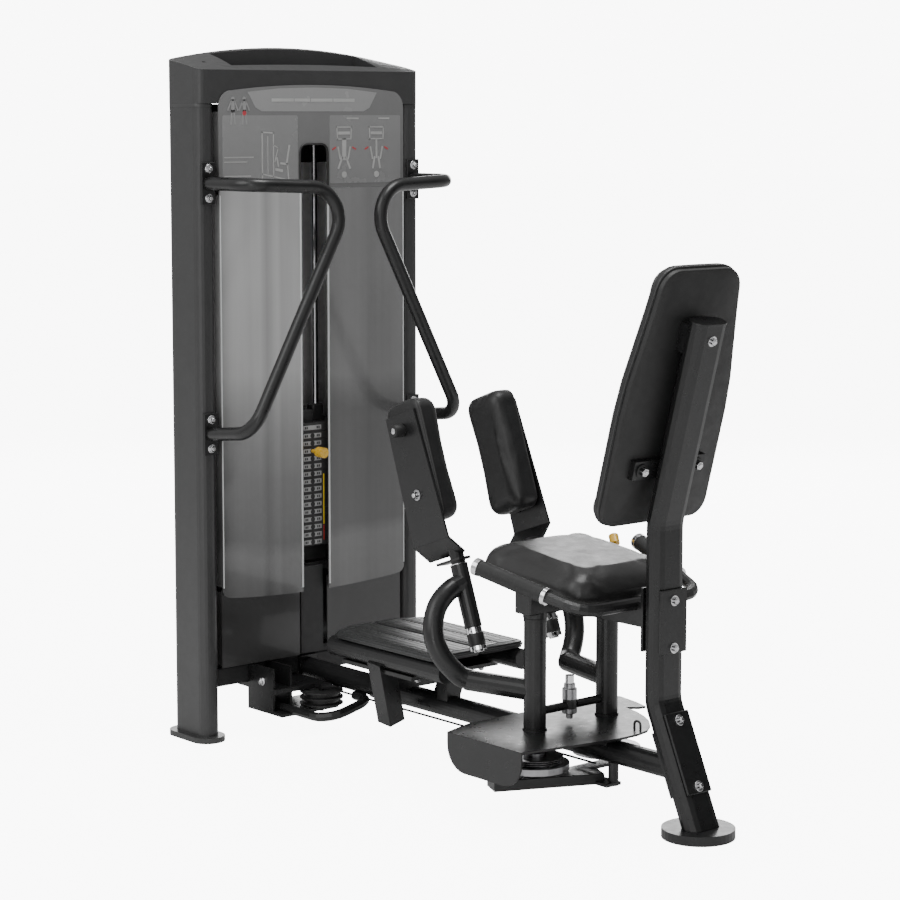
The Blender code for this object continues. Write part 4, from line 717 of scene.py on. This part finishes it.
# seat: wide at the board, shoulders roll in to a smaller crowned top
TS = math.radians(6.7)
SY, SZ = Vector((0, math.cos(TS), math.sin(TS))), Vector((0, -math.sin(TS), math.cos(TS)))
S_O = L(0, -0.915, 0.5085)
seat_out = densify(rrect(-0.1485, 0.1485, -0.1585, 0.1585, 0.040, 7))
seat = cushion("seat_pad", seat_out, [(-0.0330, 0.002), (-0.0310, -0.001), (-0.0060, -0.001), (0.0070, 0.002), (0.0170, 0.009), (0.0250, 0.019), (0.0305, 0.031), (0.0330, 0.043), (0.0338, 0.060)], X, SY, SZ, S_O, rect=(0.1485, 0.1585, 0.040))
# backrest: tapered panel, slightly crowned front
BZ = X.cross(UP)


def arc_pts(cx, cy, r, a0, a1, n):
    return [(cx + r * math.cos(math.radians(a0 + (a1 - a0) * k / n)), cy + r * math.sin(math.radians(a0 + (a1 - a0) * k / n))) for k in range(n + 1)]


half = arc_pts(0.110, 0.0130, 0.040, 270, 360, 6) + [(0.150, 0.120), (0.150, 0.210), (0.1450, 0.280), (0.133, 0.350), (0.120, 0.430)] + arc_pts(0.0660, 0.470, 0.048, 8, 90, 7)
back_out = [(x, y) for x, y in half] + [(-x, y) for x, y in reversed(half)]
back_front = densify(back_out)
back = cushion("back_pad", back_front, [(0.0436, 0.001), (0.0446, -0.0016), (0.0620, -0.0016), (0.0700, 0.002), (0.0760, 0.010), (0.0795, 0.022), (0.0805, 0.045)], X, UP, UPN, P_O)
PL_DIR = Vector((0, math.sin(math.radians(20)), math.cos(math.radians(20))))
PL_SIDE = Vector((0, math.cos(math.radians(20)), -math.sin(math.radians(20))))
thigh = []
for s, sd in ((-1, "left"), (1, "right")):
    c = L(s * 0.1445, -0.5350, 0.7000)
    o = cushion("thigh_pad_" + sd, densify(rrect(-0.0580, 0.0580, -0.1350, 0.1350, 0.026, 6)), [(0.0004, 0.002), (0.0030, -0.0012), (0.0060, -0.0018), (0.0400, -0.0018), (0.0520, 0.002), (0.0595, 0.010), (0.0630, 0.024)],
                PL_SIDE, PL_DIR, X * -s, c, rect=(0.0580, 0.1350, 0.026))
    thigh.append(o)
pads = [(seat, 4.0), (back, 4.0), (thigh[0], 4.0), (thigh[1], 4.0)]
for o, pr in pads:
    vg = o.vertex_groups.new(name="pin")
    zs = [v.co.z for v in o.data.vertices]
    zmin = min(zs)
    vg.add([v.index for v in o.data.vertices if v.co.z < zmin + 0.010], 1.0, "REPLACE")
    cl = o.modifiers.new("cloth", "CLOTH")
    st = cl.settings
    st.use_pressure = True
    st.uniform_pressure_force = pr
    st.effector_weights.gravity = 0.0
    st.vertex_group_mass = "pin"
    st.tension_stiffness = st.compression_stiffness = 15
    st.quality = 5
    cl.point_cache.frame_start, cl.point_cache.frame_end = 1, 16
for f in range(1, 15):
    scene.frame_set(f)
finish_pad(seat, VINYL_SEAT, "frame", "seat_cushion", 0, (-0.1500, 0.1500, -0.1600, 0.1600, -0.0335, 0.0350), cap=0.005)
finish_pad(back, VINYL, "frame", "backrest_cushion", 0, (-0.1500, 0.1500, -0.0270, 0.5180, 0.0435, 0.0830), cap=0.005)
for o, sd in zip(thigh, ("left", "right")):
    finish_pad(o, VINYL, sd + "_pad", sd + "_thigh_pad", 0, (-0.0590, 0.0590, -0.1360, 0.1360, 0.0002, 0.0650), cap=0.0045)
scene.frame_set(1)


def around(outline, h, out, ux, uy, un, org, skip=1):
    n = len(outline)
    pts = []
    for i in range(0, n, skip):
        a, b = Vector(outline[i - 1]), Vector(outline[(i + 1) % n])
        tg = (b - a).normalized()
        q = Vector(outline[i]) + Vector((tg.y, -tg.x)) * out
        pts.append(org + ux * q.x + uy * q.y + un * h)
    return pts


from mathutils.bvhtree import BVHTree


def on_pad(o, pts, lift):
    """Moves a closed run of points onto the pad's surface, then evens it out."""
    bpy.context.view_layer.update()
    tree = BVHTree.FromObject(o, bpy.context.evaluated_depsgraph_get())
    inv = o.matrix_world.inverted()
    out = []
    for p in pts:
        q, nrm, _, _ = tree.find_nearest(inv @ p)
        out.append(o.matrix_world @ (q + nrm * lift))
    for _ in range(2):
        out = [(out[i - 1] + out[i] * 2 + out[(i + 1) % len(out)]) / 4 for i in range(len(out))]
    return out


# covered back panel of the backrest, with its two welt lines and staple-edge cover
bm = bmesh.new()
plate(bm, [(x * 0.985, 0.2455 + (y - 0.2455) * 0.992) for x, y in back_front], P_O, X, UP, -UPN, -0.0434, -0.0322, 0.0028)
o = make("back_panel", bm, VINYL_BACK, "frame", 50)
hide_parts("backrest_board")
sweep("back_welt_rear", on_pad(back, around(back_front, 0.0475, 0.0, X, UP, UPN, P_O), 0.0002), 0.0020, PIPING, "frame", closed=True)
sweep("back_welt_front", on_pad(back, around(back_front, 0.0615, 0.0, X, UP, UPN, P_O), 0.0001), 0.0015, PIPING, "frame", closed=True)
sweep("seat_welt", on_pad(seat, around(seat_out, -0.0290, 0.0, X, SY, SZ, S_O), 0.0001), 0.0018, PIPING, "frame", closed=True)
for s, sd in ((-1, "left"), (1, "right")):
    outl = densify(rrect(-0.0580, 0.0580, -0.1350, 0.1350, 0.026, 6))
    sweep("thigh_welt_" + sd, on_pad(thigh[0 if s < 0 else 1], around(outl, 0.0075, 0.0, PL_SIDE, PL_DIR, X * -s, L(s * 0.1445, -0.5350, 0.7000)), 0.0002), 0.0017, PIPING, sd + "_pad", closed=True)

# ------------------------------------------------------------------ pulley rope groove fins under the deck
for k in range(3):
    bm = bmesh.new()
    zc = 0.1020 + 0.0042 * k
    revolve(bm, L(-0.105, -0.889, zc), Z, [(0, 0.030), (0, 0.0600), (0.0012, 0.0606), (0.0022, 0.0600), (0.0022, 0.030)], 48)
    make("cam_fin_%d" % k, bm, STEEL, "left_arm")

# ------------------------------------------------------------------ floor, light, camera
bm = bmesh.new()
bmesh.ops.create_grid(bm, x_segments=2, y_segments=2, size=40)
fm, fnt, fb = new_mat("floor_pale")
fco = tex(fnt)
link(fnt, ramp(fnt, noise(fnt, fco, 3.0), [(0.3, 0.86), (0.7, 0.90)]), fb.inputs["Base Color"])
link(fnt, rng(fnt, noise(fnt, fco, 12.0), 0.3, 0.7, 0.70, 0.80), fb.inputs["Roughness"])
flp = fnt.nodes.new("ShaderNodeLightPath")
link(fnt, rng(fnt, flp.outputs["Is Camera Ray"], 0.0, 1.0, 0.03, 8.4), fb.inputs["Emission Strength"])
fb.inputs["Emission Color"].default_value = (1, 1, 1, 1)
floor = make("floor", bm, fm, None)
floor.location = (0, 0, -0.0005)

world = bpy.data.worlds.new("studio")
scene.world = world
world.use_nodes = True
nt = world.node_tree
bg = nt.nodes["Background"]
tc = nt.nodes.new("ShaderNodeTexCoord")
dotn = nt.nodes.new("ShaderNodeVectorMath")
dotn.operation = "DOT_PRODUCT"
dotn.inputs[1].default_value = (-0.62, 0.30, 0.72)
link(nt, tc.outputs["Generated"], dotn.inputs[0])
lit = rng(nt, dotn.outputs["Value"], -0.45, 0.90, 0.025, 0.80)
lp = nt.nodes.new("ShaderNodeLightPath")
mx = nt.nodes.new("ShaderNodeMix")
link(nt, lp.outputs["Is Camera Ray"], mx.inputs["Factor"])
link(nt, lit, mx.inputs["A"])
mx.inputs["B"].default_value = 9.0
link(nt, mx.outputs["Result"], bg.inputs["Strength"])
bg.inputs["Color"].default_value = (1, 1, 1, 1)


def area(name, loc, target, size, power):
    d = bpy.data.lights.new(name, "AREA")
    d.energy = power
    d.shape = "RECTANGLE"
    d.size, d.size_y = size
    o = bpy.data.objects.new(name, d)
    scene.collection.objects.link(o)
    o.location = loc
    o.rotation_euler = (Vector(target) - Vector(loc)).to_track_quat("-Z", "Y").to_euler()
    return o


area("key", (-3.4, 0.2, 3.4), (0, 0.1, 0.8), (2.6, 3.0), 62)
area("fill", (-1.0, -4.8, 2.4), (0, 0, 0.8), (3.0, 2.4), 10)
area("strip", (-3.6, -2.6, 1.5), (0, -0.2, 0.8), (0.5, 3.2), 26)
area("top", (0.3, -0.5, 4.4), (0, -0.3, 0.4), (1.8, 1.8), 85)
area("rim", (3.4, -0.4, 3.0), (0, -0.2, 0.8), (3.6, 3.6), 11)
area("back", (3.6, 3.9, 1.9), (0, -0.2, 0.5), (4.2, 1.8), 125)

cam = bpy.data.cameras.new("camera")
co = bpy.data.objects.new("camera", cam)
scene.collection.objects.link(co)
cam.sensor_width = 36
cam.lens = 100.813
cam.shift_y = -0.06
co.location = (-3.6152, -4.7241 + OFF, 1.4620)
yaw, pitch = math.radians(40.500), math.radians(6.4535)
fw = Vector((math.sin(yaw) * math.cos(pitch), math.cos(yaw) * math.cos(pitch), -math.sin(pitch)))
co.rotation_euler = fw.to_track_quat("-Z", "Y").to_euler()
cam.clip_start, cam.clip_end = 0.1, 200
scene.camera = co

bpy.context.view_layer.update()
